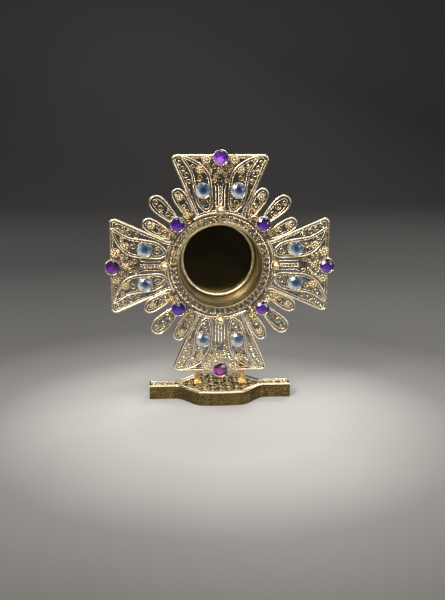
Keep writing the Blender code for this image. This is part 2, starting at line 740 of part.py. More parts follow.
def build_foot(finishes):
    outline = foot_outline()
    inside = inset(outline, SKIRT_WALL + GAP)
    skirt = plate([outline, inset(outline, SKIRT_WALL)], SKIRT_HEIGHT, SKIRT_HEIGHT / 2)
    place("foot_skirt", skirt, finishes["antique_gilt"])
    floor = plate([inside], FLOOR_THICKNESS, FLOOR_THICKNESS / 2)
    place("foot_floor", floor, finishes["antique_gilt"])
    place("foot_top_panel", foot_top_mesh(outline), finishes["gilt_wire"])
    place("foot_rim_wire", rim_wire_mesh(inset(outline, SKIRT_WALL / 2)), finishes["bright_gilt"])
    bracket = bracket_mesh()
    for side, x in (("left", -BRACKET_X), ("right", BRACKET_X)):
        place(f"bracket_{side}", bracket, finishes["copper_gilt"], Matrix.Translation((x, 0.0, 0.0)))


def build_cross(finishes):
    arm = arm_mesh()
    bead = bead_mesh()
    for side, angle in ARM_ANGLES.items():
        place(f"arm_{side}", arm, finishes["gilt_wire"], facing_front(angle))
        place(f"bead_{side}", bead, finishes["bright_gilt"], facing_front(angle, 0.0, BEAD_RADIUS_OUT))
    spray = spray_mesh()
    for corner, angle in SPRAY_ANGLES.items():
        place(f"petals_{corner}", spray, finishes["gilt_wire"], facing_front(angle))
    place("halo_band", halo_mesh(), finishes["gilt_wire"], facing_front())


def set_stones(names_and_places, table, stone_kind, finishes):
    """A row of equal stones, each in its own cup."""
    cup = cup_mesh(table - CROWN_HEIGHT + CUP_LIP)
    stone = stone_mesh(table)
    for name, matrix in names_and_places:
        place(f"cup_{name}", cup, finishes["bright_gilt"], matrix)
        place(f"stone_{name}", stone, finishes[stone_kind], matrix)


def build_stones(finishes):
    tips = []
    for side, angle in ARM_ANGLES.items():
        tips.append((f"tip_{side}", facing_front(angle, 0.0, TIP_STONE_RADIUS_OUT)))
    set_stones(tips, TIP_STONE_FRONT, "purple_stone", finishes)
    diagonals = []
    for corner, angle in SPRAY_ANGLES.items():
        diagonals.append((corner, facing_front(angle, 0.0, DIAGONAL_STONE_RADIUS_OUT)))
    set_stones(diagonals, DIAGONAL_STONE_FRONT, "purple_stone", finishes)
    pairs = []
    for side, angle in ARM_ANGLES.items():
        for hand, lateral in (("a", -CLEAR_STONE_LATERAL), ("b", CLEAR_STONE_LATERAL)):
            pairs.append((f"clear_{side}_{hand}", facing_front(angle, lateral, CLEAR_STONE_RADIAL)))
    set_stones(pairs, CLEAR_STONE_FRONT, "clear_stone", finishes)


def build_drum(finishes):
    place("drum", drum_mesh(), finishes["bright_gilt"], facing_front())
    place("hinge_leaf", hinge_leaf_mesh(), finishes["bright_gilt"])
    place("hinge_pin", hinge_pin_mesh(), finishes["bright_gilt"])
    hinge = joint_centre("rear_lid_hinge", (HINGE_X, hinge_y(), AXIS_HEIGHT))
    place("rear_lid", rear_lid_mesh(), finishes["bright_gilt"], parent=hinge)


def build_theca(finishes):
    slide = joint_centre("theca_slide", (0.0, CROSS_Y, AXIS_HEIGHT))
    pane_front = THECA_FRONT - BEZEL_RING_DEPTH - GAP
    pane = disc_mesh(PANE_RADIUS, pane_front, PANE_THICKNESS)
    backing = disc_mesh(PANE_RADIUS, pane_front - PANE_THICKNESS - BACKING_DEPTH, BACKING_THICKNESS)
    pieces = [
        ("theca_bezel", theca_bezel_mesh(), "bright_gilt"),
        ("theca_case", theca_case_mesh(), "bright_gilt"),
        ("theca_glass", pane, "window_glass"),
        ("theca_backing", backing, "dark_cloth"),
    ]
    for name, mesh, finish in pieces:
        place(name, mesh, finishes[finish], facing_front(), slide)


def make_finishes():
    return {
        "gilt_wire": make_material("gilt_wire", (0.80, 0.65, 0.40), 0.32, 1.0),
        "bright_gilt": make_material("bright_gilt", (0.83, 0.68, 0.42), 0.22, 1.0),
        "antique_gilt": make_material("antique_gilt", (0.50, 0.38, 0.19), 0.45, 1.0),
        "copper_gilt": make_material("copper_gilt", (0.80, 0.50, 0.26), 0.38, 1.0),
        "purple_stone": make_material("purple_stone", (0.22, 0.03, 0.55), 0.08, 0.0, 0.6),
        "clear_stone": make_material("clear_stone", (0.72, 0.83, 0.92), 0.06, 0.0, 0.6),
        "window_glass": make_material("window_glass", (0.75, 0.78, 0.72), 0.04, 0.0, 0.95),
        "dark_cloth": make_material("dark_cloth", (0.02, 0.015, 0.012), 0.85),
    }


clear_scene()
PARTS = new_collection("monstrance")
CUTTERS = new_collection("cutters")
FINISHES = make_finishes()
build_foot(FINISHES)
build_cross(FINISHES)
build_stones(FINISHES)
build_drum(FINISHES)
build_theca(FINISHES)
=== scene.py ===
"""The looks of a small table monstrance in gilt filigree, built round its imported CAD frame.

Shapes are drawn in millimetres. Pieces of the cross are drawn on its face in (across, outward, forward) and
then turned to their arm. Pieces of the foot are drawn in (x, y, z).
"""

import math

import bpy
import numpy as np
from mathutils import Matrix, Vector


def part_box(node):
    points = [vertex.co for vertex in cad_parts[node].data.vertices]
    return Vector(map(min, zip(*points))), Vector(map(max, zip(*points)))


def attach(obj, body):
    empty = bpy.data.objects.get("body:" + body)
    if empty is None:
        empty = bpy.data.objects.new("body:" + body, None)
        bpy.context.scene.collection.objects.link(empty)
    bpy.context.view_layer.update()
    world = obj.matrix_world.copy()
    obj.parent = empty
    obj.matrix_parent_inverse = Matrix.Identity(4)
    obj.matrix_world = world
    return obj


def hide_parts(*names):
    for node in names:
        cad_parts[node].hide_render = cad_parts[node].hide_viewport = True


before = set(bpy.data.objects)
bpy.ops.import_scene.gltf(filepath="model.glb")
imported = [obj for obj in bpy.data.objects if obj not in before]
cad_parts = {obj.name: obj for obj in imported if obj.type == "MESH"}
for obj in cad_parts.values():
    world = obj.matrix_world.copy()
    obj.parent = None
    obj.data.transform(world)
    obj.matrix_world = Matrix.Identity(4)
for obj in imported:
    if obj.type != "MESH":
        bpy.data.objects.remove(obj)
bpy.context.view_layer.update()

MM = 0.001
TURN = 2 * math.pi
RANDOM = np.random.default_rng(11)
SHARP_ANGLE = math.radians(38)
PAINTED_POOL_CENTRE = (0.0, -0.025, 0.0)  # the middle of the painted pool of light on the floor, in metres
# The painted pool of light fading into painted shade, by distance from its middle.
PAINTED_POOL_STOPS = [
    (0.035, (1.0, 1.0, 1.0)),
    (0.056, (0.78, 0.772, 0.765)),
    (0.082, (0.40, 0.392, 0.384)),
    (0.125, (0.18, 0.175, 0.17)),
    (0.32, (0.06, 0.057, 0.054)),
]


# Places and sizes read from the frame, in millimetres


def box_mm(node):
    low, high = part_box(node)
    return np.array(low) / MM, np.array(high) / MM


def middle(node):
    low, high = box_mm(node)
    return (low + high) / 2


def half_size(node):
    low, high = box_mm(node)
    return (high - low) / 2


ARM_LOW, ARM_HIGH = box_mm("arm_top")
FACE_Y = middle("arm_top")[1]  # the mid-plane of the cross
AXIS_Z = middle("drum")[2]
ARM_REACH = ARM_HIGH[2] - AXIS_Z
ARM_DEPTH = ARM_HIGH[1] - ARM_LOW[1]
RIM_RADIUS = half_size("drum")[0]
SIDES = {"top": 0, "right": 90, "bottom": 180, "left": 270}
CORNERS = {"upper_right": 45, "lower_right": 135, "lower_left": 225, "upper_left": 315}


def face_centre(node):
    """A node's centre on the cross's face, as (across, outward) from the drum's axis."""
    across, _, up = middle(node)
    return np.array([across, up - AXIS_Z])


def forward_span(node):
    """How far in front of the cross's mid-plane a node starts and ends."""
    low, high = box_mm(node)
    return FACE_Y - high[1], FACE_Y - low[1]


DRUM_BACK, DRUM_FRONT = forward_span("drum")


def facing(angle=0.0):
    """From the cross's face, turned to an arm, to the world in metres."""
    turn = Matrix.Rotation(math.radians(angle), 4, "Y") @ Matrix.Rotation(math.radians(90), 4, "X")
    centre = Matrix.Translation((0.0, FACE_Y * MM, AXIS_Z * MM))
    return centre @ turn @ Matrix.Scale(MM, 4)


UPRIGHT = Matrix.Scale(MM, 4)  # from (x, y, z) in millimetres to the world


# Meshes


class Shape:
    """A piece's points and faces. Painted light is 0 in a hollow, for painted shade, and 1 on a raised edge,
    for a painted highlight, and tint varies by wire.
    """

    def __init__(self):
        self.points, self.quads, self.triangles, self.relief, self.tint = [], [], [], [], []
        self.size = 0

    def add(self, points, quads, triangles, relief, tint):
        points = np.asarray(points, float).reshape(-1, 3)
        self.points.append(points)
        self.quads.append(np.asarray(quads, int).reshape(-1, 4) + self.size)
        self.triangles.append(np.asarray(triangles, int).reshape(-1, 3) + self.size)
        self.relief.append(np.broadcast_to(relief, len(points)))
        self.tint.append(np.broadcast_to(tint, len(points)))
        self.size += len(points)

    def mesh(self, name, matrix):
        turn = np.array(matrix)
        points = np.concatenate(self.points) @ turn[:3, :3].T + turn[:3, 3]
        faces = np.concatenate(self.quads).tolist() + np.concatenate(self.triangles).tolist()
        mesh = bpy.data.meshes.new(name)
        mesh.from_pydata(points.tolist(), [], faces, shade_flat=False)
        # Painted light, for painted shade and highlights, and tint go onto each point for the materials to
        # read.
        for key, values in (("relief", self.relief), ("tint", self.tint)):
            attribute = mesh.attributes.new(key, "FLOAT", "POINT")
            attribute.data.foreach_set("value", np.concatenate(values).astype(np.float32))
        return mesh


def shapes(count):
    return [Shape() for _ in range(count)]


def piece(name, shape, material, matrix, replaces=(), body="root", smooth=True):
    """A named piece in place, riding on its body and standing for the CAD nodes that it replaces."""
    mesh = shape.mesh(name, matrix)
    if smooth:
        mesh.shade_smooth()
        mesh.set_sharp_from_angle(angle=SHARP_ANGLE)
    mesh.materials.append(material)
    obj = bpy.data.objects.new(name, mesh)
    bpy.context.scene.collection.objects.link(obj)
    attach(obj, body)
    if replaces:
        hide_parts(*replaces)
    return obj


# Paths: arrays of (across, outward) points

COIL_STEPS = 20  # points in one turn of a coil
TAIL_BEND = 0.22  # how far a curl's tail bends in as it runs on


def even(path, step, closed=False):
    """The path with its points about a step apart."""
    points = np.vstack([path, path[:1]]) if closed else np.asarray(path, float)
    lengths = np.r_[0.0, np.cumsum(np.linalg.norm(np.diff(points, axis=0), axis=1))]
    count = max(int(round(lengths[-1] / step)), 4)
    places = np.linspace(0, lengths[-1], count + 1)
    result = np.column_stack([np.interp(places, lengths, column) for column in points.T])
    return result[:-1] if closed else result


def softened(path, passes=2, closed=False):
    """The path with its kinks rounded."""
    for _ in range(passes):
        if closed:
            path = (np.roll(path, 1, 0) + 2 * path + np.roll(path, -1, 0)) / 4
        else:
            inner = (path[:-2] + 2 * path[1:-1] + path[2:]) / 4
            path = np.vstack([path[:1], inner, path[-1:]])
    return path


def directions(path, closed=False):
    steps = np.roll(path, -1, 0) - np.roll(path, 1, 0) if closed else np.gradient(path, axis=0)
    return steps / np.maximum(np.linalg.norm(steps, axis=1, keepdims=True), 1e-9)


def beside(path, distance, closed=False):
    """The path moved to its left by a distance."""
    along = directions(path, closed)
    return path + distance * np.column_stack([-along[:, 1], along[:, 0]])


def inset(outline, distance, passes):
    """A closed outline drawn again beside itself, with its kinks rounded."""
    moved = beside(softened(outline, passes, True), distance, True)
    return softened(moved, passes, True)


def mirrored(path):
    return np.asarray(path, float) * (-1.0, 1.0)


def rotated(path, degrees):
    turn = math.radians(degrees)
    c, s = math.cos(turn), math.sin(turn)
    return np.asarray(path, float) @ np.array([[c, s], [-s, c]])


def spun(x, y, degrees):
    """One point turned about the drum's axis."""
    return rotated([(x, y)], degrees)[0]


def raised(path, up):
    """A flat path as points at one height."""
    return np.column_stack([path, np.full(len(path), up)])


def round_arc(radius, start, end, x=0.0, y=0.0, steps=24):
    """Points on a circle from one angle to another, in degrees anticlockwise from the right."""
    angles = np.radians(np.linspace(start, end, steps + 1))
    return np.column_stack([x + radius * np.cos(angles), y + radius * np.sin(angles)])


def ring(radius, steps=96, x=0.0, y=0.0):
    return round_arc(radius, 0, 360, x, y, steps)[:-1]


def through(points, closed=False, per=8):
    """A Catmull-Rom curve through a few points."""
    points = np.asarray(points, float)
    if closed:
        padded = np.vstack([points[-1:], points, points[:2]])
    else:
        padded = np.vstack([2 * points[0] - points[1], points, 2 * points[-1] - points[-2]])
    t = np.linspace(0, 1, per, endpoint=False)[:, None]
    parts = []
    for p0, p1, p2, p3 in zip(padded, padded[1:], padded[2:], padded[3:]):
        bend = 2 * p0 - 5 * p1 + 4 * p2 - p3
        twist = 3 * p1 - p0 - 3 * p2 + p3
        parts.append((2 * p1 + (p2 - p0) * t + bend * t**2 + twist * t**3) / 2)
    if not closed:
        parts.append(points[-1:])
    return np.vstack(parts)


def coil(x, y, radius, start, hand, turns, core=0.2):
    """A spiral from its core out to a radius, where it stops at the start angle."""
    back = np.linspace(turns * TURN, 0, max(int(turns * COIL_STEPS), 8))
    reach = radius * (core + (1 - core) * (1 - back / (turns * TURN)))
    angles = math.radians(start) - hand * back
    return np.column_stack([x + reach * np.cos(angles), y + reach * np.sin(angles)])


def curl(x, y, radius, start, hand=1, turns=1.5, tail=1.3, core=0.2):
    """A coil whose end runs on in a gently opening tail."""
    spiral = coil(x, y, radius, start, hand, turns, core)
    angle = math.radians(start)
    along = hand * np.array([-math.sin(angle), math.cos(angle)])
    inward = -np.array([math.cos(angle), math.sin(angle)])
    t = np.linspace(0, 1, 8)[1:, None]
    run = spiral[-1] + radius * tail * (along * t + TAIL_BEND * inward * t**2)
    return np.vstack([spiral, run])


PACK_STEP = 0.13


def inside(spots, outline):
    """Which spots lie inside a closed outline."""
    x, y = spots[:, :1], spots[:, 1:]
    ax, ay = outline.T
    bx, by = np.roll(outline, -1, 0).T
    level = np.where(np.abs(by - ay) < 1e-9, 1e-9, by - ay)
    crossed = ((ay > y) != (by > y)) & (x < ax + (y - ay) * (bx - ax) / level)
    return crossed.sum(axis=1) % 2 == 1


def packed(outline, solids, sizes):
    """Circles (x, y, radius) set close together inside an outline and clear of some solids, largest first."""
    outline = even(outline, 0.3, True)
    low, high = outline.min(axis=0), outline.max(axis=0)
    grid = np.meshgrid(np.arange(low[0], high[0], PACK_STEP), np.arange(low[1], high[1], PACK_STEP))
    spots = np.stack(grid, -1).reshape(-1, 2)
    spots = spots[inside(spots, outline)]
    room = np.linalg.norm(spots[:, None] - outline[None], axis=2).min(axis=1)
    for x, y, radius in solids:
        room = np.minimum(room, np.hypot(spots[:, 0] - x, spots[:, 1] - y) - radius)
    circles = []
    for size in sizes:
        while room.max() >= size:
            x, y = spots[np.argmin(np.where(room >= size, room, np.inf))]
            circles.append((x, y, size))
            room = np.minimum(room, np.hypot(spots[:, 0] - x, spots[:, 1] - y) - size)
    return circles


# Wires: a section swept along a path

CROWN_STEPS = 6
FLIPPED = [0, 3, 2, 1]  # the corners of a quad the other way round
END_BULGE = 0.05  # how far the cap of a wire's end stands out
NOTCH_STEPS = 4  # path points from one notch of a milled wire to the next
TWIST_STEPS = 8  # path points in one twist


def strip(width, depth):
    """The section of a flat strip on edge, with rounded edges, as (side, forward) offsets and painted light:
    a painted highlight along its crown and painted shade down its sides.
    """
    x, z = width / 2, depth / 2
    angles = np.linspace(0, math.pi, CROWN_STEPS)
    front = np.column_stack([x * np.cos(angles), z - x + x * np.sin(angles)])
    relief = np.clip(0.25 + 0.75 * np.sin(angles), 0, 1)
    return np.vstack([front, -front]), np.r_[relief, relief]


def flattened(width, depth):
    """The section of a thin wire flattened between rollers."""
    x, z = width / 2, depth / 2
    half = [(x, 0), (x * 0.7, z * 0.8), (0, z), (-x * 0.7, z * 0.8)]
    # Painted light: a painted highlight on the crown and painted shade at the sides.
    relief = [0.0, 0.7, 1.0, 0.7]
    return np.array(half + [(-a, -b) for a, b in half]), np.array(relief + relief)


def round_section(radius, count=10):
    angles = np.arange(count) * TURN / count
    return radius * np.column_stack([np.cos(angles), np.sin(angles)]), np.full(count, 0.9)


def grid_quads(rows, size, closed=True):
    """Quads that join each row of points to the next, and with closed the last row to the first."""
    i = np.arange(rows if closed else rows - 1)[:, None]
    j = np.arange(size)[None, :]
    after, beyond = (i + 1) % rows, (j + 1) % size
    corners = np.broadcast_arrays(i * size + j, i * size + beyond, after * size + beyond, after * size + j)
    return np.stack(corners, -1).reshape(-1, 4)


def sweep(shape, path, section, closed=False, forward=0.0, tint=None, grow=1.0, shift=0.0):
    """Sweeps a section along a path. grow scales each ring, and shift moves each ring forward."""
    outline, relief = section
    count, around = len(path), len(outline)
    if tint is None:
        tint = RANDOM.uniform(0, 1)
    along = directions(path, closed)
    side = raised(np.column_stack([along[:, 1], -along[:, 0]]), 0.0)
    scale = np.broadcast_to(grow, count)[:, None]
    centre = raised(path, forward + shift)
    points = centre[:, None, :] + side[:, None, :] * (outline[:, 0] * scale)[:, :, None]
    points[:, :, 2] += outline[:, 1] * scale
    points = points.reshape(-1, 3)
    triangles = []
    value = np.tile(relief, count)
    if not closed:
        ends = centre[[0, -1]] - np.array([[1], [-1]]) * raised(along[[0, -1]], 0.0) * END_BULGE
        points = np.vstack([points, ends])
        value = np.r_[value, 0.8, 0.8]
        first, last, ring_start = count * around, count * around + 1, (count - 1) * around
        for k in range(around):
            following = (k + 1) % around
            triangles.append((first, k, following))
            triangles.append((last, ring_start + following, ring_start + k))
    shape.add(points, grid_quads(count, around, closed)[:, FLIPPED], triangles, value, tint)


def plain_wire(shape, path, section, closed=False, forward=0.0, step=0.25, tint=None):
    sweep(shape, softened(even(path, step, closed), 1, closed), section, closed, forward, tint)


def milled_wire(shape, path, section, pitch=0.4, notch=0.35, closed=False, forward=0.0, tint=None):
    """A wire whose edge is notched all along, like two fine wires twisted together and rolled flat."""
    run = even(path, pitch / NOTCH_STEPS, closed)
    phase = np.arange(len(run)) * TURN / NOTCH_STEPS
    sweep(shape, run, section, closed, forward, tint, grow=1 - notch * (0.5 - 0.5 * np.cos(phase)))


def twisted_ring(shape, radius, wire, pitch, forward, tint=0.3, x=0.0, y=0.0, steps=160):
    """A ring of two round wires laid round each other."""
    run = even(ring(radius, steps, x, y), pitch / TWIST_STEPS, True)
    turns = np.arange(len(run)) * TURN / TWIST_STEPS
    turns *= round(turns[-1] / TURN) * TURN / (turns[-1] + TURN / TWIST_STEPS)
    along = directions(run, True)
    side = np.column_stack([along[:, 1], -along[:, 0]])
    strand = round_section(wire * 0.56, 6)
    for half in (0.0, math.pi):
        reach = wire * 0.5 * np.cos(turns + half)
        rise = wire * 0.5 * np.sin(turns + half)
        sweep(shape, run + side * reach[:, None], strand, True, forward, tint, shift=rise)


# Turned shapes

FLUTES = 20  # round the wall of a stone's cup
FLUTED_FROM = 2.2  # the flutes mark only the outside of the wall
GRANULE_BANDS = 5
GRANULE_SPOKES = 9


def rounded(profile, radius=0.12, closed=True):
    """A profile with its corners rounded, and points beside each corner that keep the flats flat."""
    result = []
    count = len(profile)
    for i, point in enumerate(profile):
        here = np.array(point, float)
        if not closed and i in (0, count - 1):
            result.append(here)
            continue
        before, after = np.array(profile[i - 1], float), np.array(profile[(i + 1) % count], float)
        back, ahead = before - here, after - here
        reach = min(radius, np.linalg.norm(back) * 0.4, np.linalg.norm(ahead) * 0.4)
        back, ahead = back / np.linalg.norm(back), ahead / np.linalg.norm(ahead)
        if np.dot(back, ahead) < -0.985:
            result.append(here)
            continue
        result.append(here + back * reach * 1.25)
        for t in (0.0, 0.25, 0.5, 0.75, 1.0):
            result.append(here + back * reach * (1 - t) ** 2 + ahead * reach * t**2)
        result.append(here + ahead * reach * 1.25)
    return np.array(result)


def turned(shape, profile, steps, x=0.0, y=0.0, relief=0.85, tint=0.5, flutes=0.0):
    """A (radius, forward) profile, listed down its outer side, turned about the forward axis."""
    profile = np.asarray(profile, float)
    angles = np.arange(steps) * TURN / steps
    on_axis = profile[:, 0] < 1e-6
    rows, points, size = [], [], 0
    for (radius, forward), pole in zip(profile, on_axis):
        if pole:
            points.append([(x, y, forward)])
            rows.append(np.full(steps, size))
        else:
            reach = radius + flutes * np.cos(FLUTES * angles) * (radius > FLUTED_FROM)
            place = np.column_stack([x + reach * np.cos(angles), y + reach * np.sin(angles)])
            points.append(raised(place, forward))
            rows.append(size + np.arange(steps))
        size += len(points[-1])
    quads, triangles = [], []
    for first, a in enumerate(rows):
        second = (first + 1) % len(rows)
        b = rows[second]
        if on_axis[first] and on_axis[second]:
            continue
        if on_axis[first]:
            triangles.append(np.column_stack([a, b, np.roll(b, -1)]))
        elif on_axis[second]:
            triangles.append(np.column_stack([a, b, np.roll(a, -1)]))
        else:
            quads.append(np.column_stack([a, b, np.roll(b, -1), np.roll(a, -1)]))
    triangles = np.concatenate(triangles) if triangles else []
    values = np.repeat(np.broadcast_to(relief, len(rows)), [len(row) for row in points])
    shape.add(np.concatenate(points), np.concatenate(quads), triangles, values, tint)


def ball(shape, x, y, forward, radius, bands, spokes, relief, tint=0.5, stretch=1.0):
    """A ball, stretched along the forward axis."""
    tilt = np.linspace(0, math.pi, bands + 1)
    profile = np.column_stack([radius * np.sin(tilt), forward + radius * stretch * np.cos(tilt)])
    turned(shape, profile, spokes, x, y, relief, tint)


def granule(shape, x, y, forward, radius):
    """A small fused ball of gold."""
    # Painted light: a painted highlight at the front and back, painted shade round its sides.
    relief = 0.55 + 0.45 * np.abs(np.cos(np.linspace(0, math.pi, GRANULE_BANDS + 1)))
    ball(shape, x, y, forward, radius, GRANULE_BANDS, GRANULE_SPOKES, relief, RANDOM.uniform(0, 1))


def slab(shape, low, high, bevel):
    """A box with bevelled edges, drawn as a stack of rounded rectangles."""
    low, high = np.array(low, float), np.array(high, float)
    centre, half = (low + high) / 2, (high - low) / 2
    rows = []
    for z, pull in ((-half[2], bevel), (bevel - half[2], 0), (half[2] - bevel, 0), (half[2], bevel)):
        a, b = half[:2] - pull
        corners = [(a, b - bevel), (a - bevel, b), (bevel - a, b), (-a, b - bevel)]
        corners += [(-p, -q) for p, q in corners]
        rows += [(p, q, z) for p, q in corners]
    base = [(7, 2, 1, 0), (7, 6, 3, 2), (6, 5, 4, 3)]
    top = [(24, 25, 26, 31), (26, 27, 30, 31), (27, 28, 29, 30)]
    shape.add(centre + rows, grid_quads(4, 8, False).tolist() + base + top, [], 0.8, 0.5)


# Materials


class Look:
    """One material being made. Each call adds nodes and returns the socket that it ends in."""

    def __init__(self, name, slot, **constants):
        self.material = bpy.data.materials.new(name)
        self.material.use_nodes = True
        self.material["slot"] = slot
        self.tree = self.material.node_tree
        self.shader = self.tree.nodes["Principled BSDF"]
        for key, value in constants.items():
            self.shader.inputs[key.replace("_", " ")].default_value = value

    def join(self, source, target):
        if isinstance(source, bpy.types.NodeSocket):
            self.tree.links.new(source, target)
        else:
            target.default_value = source

    def feed(self, name, source):
        self.join(source, self.shader.inputs[name])

    def attribute(self, name):
        node = self.tree.nodes.new("ShaderNodeAttribute")
        node.attribute_name = name
        return node.outputs["Fac"]

    def place(self, stretch=(1.0, 1.0, 1.0)):
        where = self.tree.nodes.new("ShaderNodeTexCoord")
        mapping = self.tree.nodes.new("ShaderNodeMapping")
        mapping.inputs["Scale"].default_value = stretch
        self.tree.links.new(where.outputs["Object"], mapping.inputs["Vector"])
        return mapping.outputs["Vector"]

    def noise(self, size, detail=2.0, stretch=(1.0, 1.0, 1.0)):
        """Noise whose patches are about a size across, in millimetres."""
        node = self.tree.nodes.new("ShaderNodeTexNoise")
        node.inputs["Scale"].default_value = 1 / (size * MM)
        node.inputs["Detail"].default_value = detail
        self.join(self.place(stretch), node.inputs["Vector"])
        return node.outputs["Fac"]

    def threads(self, size, direction):
        node = self.tree.nodes.new("ShaderNodeTexWave")
        node.bands_direction = direction
        node.inputs["Scale"].default_value = 0.314 / (size * MM)
        node.inputs["Distortion"].default_value = 0.6
        self.join(self.place(), node.inputs["Vector"])
        return node.outputs["Fac"]

    def ramp(self, factor, stops):
        node = self.tree.nodes.new("ShaderNodeValToRGB")
        band = node.color_ramp
        while len(band.elements) < len(stops):
            band.elements.new(0.5)
        for element, (position, colour) in zip(band.elements, stops):
            element.position = position
            element.color = (*colour, 1.0)
        self.join(factor, node.inputs["Fac"])
        return node.outputs["Color"]

    def blend(self, factor, a, b, mode="MIX"):
        node = self.tree.nodes.new("ShaderNodeMix")
        node.data_type = "RGBA"
        node.blend_type = mode
        self.join(factor, node.inputs["Factor"])
        for socket, colour in ((node.inputs[6], a), (node.inputs[7], b)):
            self.join((*colour, 1.0) if isinstance(colour, tuple) else colour, socket)
        return node.outputs[2]

    def number(self, operation, *values):
        node = self.tree.nodes.new("ShaderNodeMath")
        node.operation = operation
        for value, socket in zip(values, node.inputs):
            self.join(value, socket)
        return node.outputs[0]

    def between(self, factor, low, high):
        """The factor stretched from 0..1 to low..high."""
        return self.number("MULTIPLY_ADD", factor, high - low, low)

    def bump(self, height, strength, depth=0.03):
        node = self.tree.nodes.new("ShaderNodeBump")
        node.inputs["Strength"].default_value = strength
        node.inputs["Distance"].default_value = depth * MM
        self.join(height, node.inputs["Height"])
        self.feed("Normal", node.outputs["Normal"])


def gilt(name, slot, painted_hollow_shade, middle, bright, roughness, rose=0.3, grain=0.12, patches=0.28):
    """Gilded metal with painted shade in its hollows and a painted highlight on its edges, unevenly worn and
    rosier on some wires.
    """
    look = Look(name, slot, Metallic=1.0)
    wear = look.between(look.noise(2.2, 3.0), -patches, patches)
    # Painted light plus random wear picks each point's colour: painted shade in the hollows, a painted
    # highlight on the raised edges.
    height = look.number("ADD", look.attribute("relief"), wear)
    colour = look.ramp(height, [(0.02, painted_hollow_shade), (0.45, middle), (0.88, bright)])
    rosy = look.number("MULTIPLY", look.number("POWER", look.attribute("tint"), 2.0), rose)
    colour = look.blend(rosy, colour, (1.0, 0.80, 0.66), "MULTIPLY")
    look.feed("Base Color", colour)
    look.feed("Roughness", look.between(look.noise(0.9, 3.0), roughness - 0.1, roughness + 0.14))
    look.bump(look.noise(0.16, 3.0), grain)
    return look.material


def brushed_gilt(name, slot, dark, bright, roughness, pitch, stretch):
    """Gilded metal with the fine lines left by turning or drawing."""
    look = Look(name, slot, Metallic=1.0)
    lines = look.noise(pitch, 3.0, stretch)
    stains = look.noise(4.5, 4.0)
    shade = look.number("ADD", look.between(lines, -0.1, 0.1), look.between(stains, 0.2, 0.8))
    look.feed("Base Color", look.ramp(shade, [(0.25, dark), (0.6, bright)]))
    look.feed("Roughness", look.between(stains, roughness - 0.06, roughness + 0.12))
    look.bump(lines, 0.25, 0.012)
    return look.material


def gem(name, slot, stops, lean):
    """A cut stone over foil. Painted light says how much painted light and reflection a facet has, and tint
    how far its hue leans.
    """
    look = Look(name, slot, Roughness=0.05, IOR=1.76, Coat_Weight=1.0, Coat_Roughness=0.03)
    flaws = look.between(look.noise(0.5, 2.0), -0.12, 0.12)
    # The ramp paints each facet's light and reflection.
    colour = look.ramp(look.number("ADD", look.attribute("relief"), flaws), stops)
    look.feed("Base Color", look.blend(look.attribute("tint"), colour, lean, "MULTIPLY"))
    return look.material


def glass():
    tinge = (1.0, 0.8, 0.42, 1.0)
    look = Look("pane_glass", "window_glass", Transmission_Weight=1.0, IOR=1.3, Specular_Tint=tinge)
    stains = look.ramp(look.noise(7.0), [(0.3, (0.90, 0.93, 0.90)), (0.7, (0.97, 0.98, 0.96))])
    look.feed("Base Color", stains)
    look.feed("Roughness", look.between(look.noise(6.0, 3.0), 0.0, 0.02))
    return look.material


def velvet():
    look = Look("dark_velvet", "dark_cloth", Specular_IOR_Level=0.02)
    weave = look.number("MULTIPLY", look.threads(0.3, "X"), look.threads(0.3, "Z"))
    pile = look.number("ADD", look.noise(0.22, 3.0), look.number("MULTIPLY", weave, 0.4))
    cloth = look.ramp(pile, [(0.3, (0.006, 0.0045, 0.001)), (0.9, (0.02, 0.014, 0.004))])
    patches = look.ramp(look.noise(9.0), [(0.38, (0.02, 0.03, 0.02)), (0.62, (1.0, 0.9, 0.8))])
    look.feed("Base Color", look.blend(1.0, cloth, patches, "MULTIPLY"))
    look.feed("Roughness", look.between(pile, 0.85, 1.0))
    look.bump(pile, 0.04, 0.01)
    return look.material


def pale_floor_painted_pool():
    """Matt paper, with a painted pool of light round the object and painted shade further off."""
    look = Look("pale_floor_painted_pool", "", Roughness=0.7)
    paper = look.ramp(look.noise(60.0, 4.0), [(0.3, (0.42, 0.412, 0.396)), (0.7, (0.45, 0.441, 0.425))])
    from_pool = look.tree.nodes.new("ShaderNodeVectorMath")
    from_pool.operation = "DISTANCE"
    look.join(look.place(), from_pool.inputs[0])
    from_pool.inputs[1].default_value = PAINTED_POOL_CENTRE
    shade = look.ramp(from_pool.outputs["Value"], PAINTED_POOL_STOPS)
    look.feed("Base Color", look.blend(1.0, paper, shade, "MULTIPLY"))
    look.bump(look.noise(1.5, 3.0), 0.05, 0.05)
    return look.material


# A gilt has a name, a slot, the colours of its painted shade in the hollows, of its faces and of its painted
# highlight on the edges, a roughness, a rosiness, a grain and patches. A brushed one has a name, a slot, a
# dark and a bright colour, a roughness, and the pitch and stretch of its lines.
WIRE = gilt(
    "filigree_wire", "gilt_wire", (0.010, 0.006, 0.002), (0.25, 0.175, 0.07), (0.94, 0.76, 0.44), 0.24, 0.15
)
# The wire's gilt darkened as painted shade, for the infill wires set among the others.
PAINTED_SHADE_WIRE = gilt(
    "painted_shade_wire", "gilt_wire", (0.005, 0.003, 0.001), (0.03, 0.019, 0.006), (0.14, 0.095, 0.035), 0.34, 0.1
)
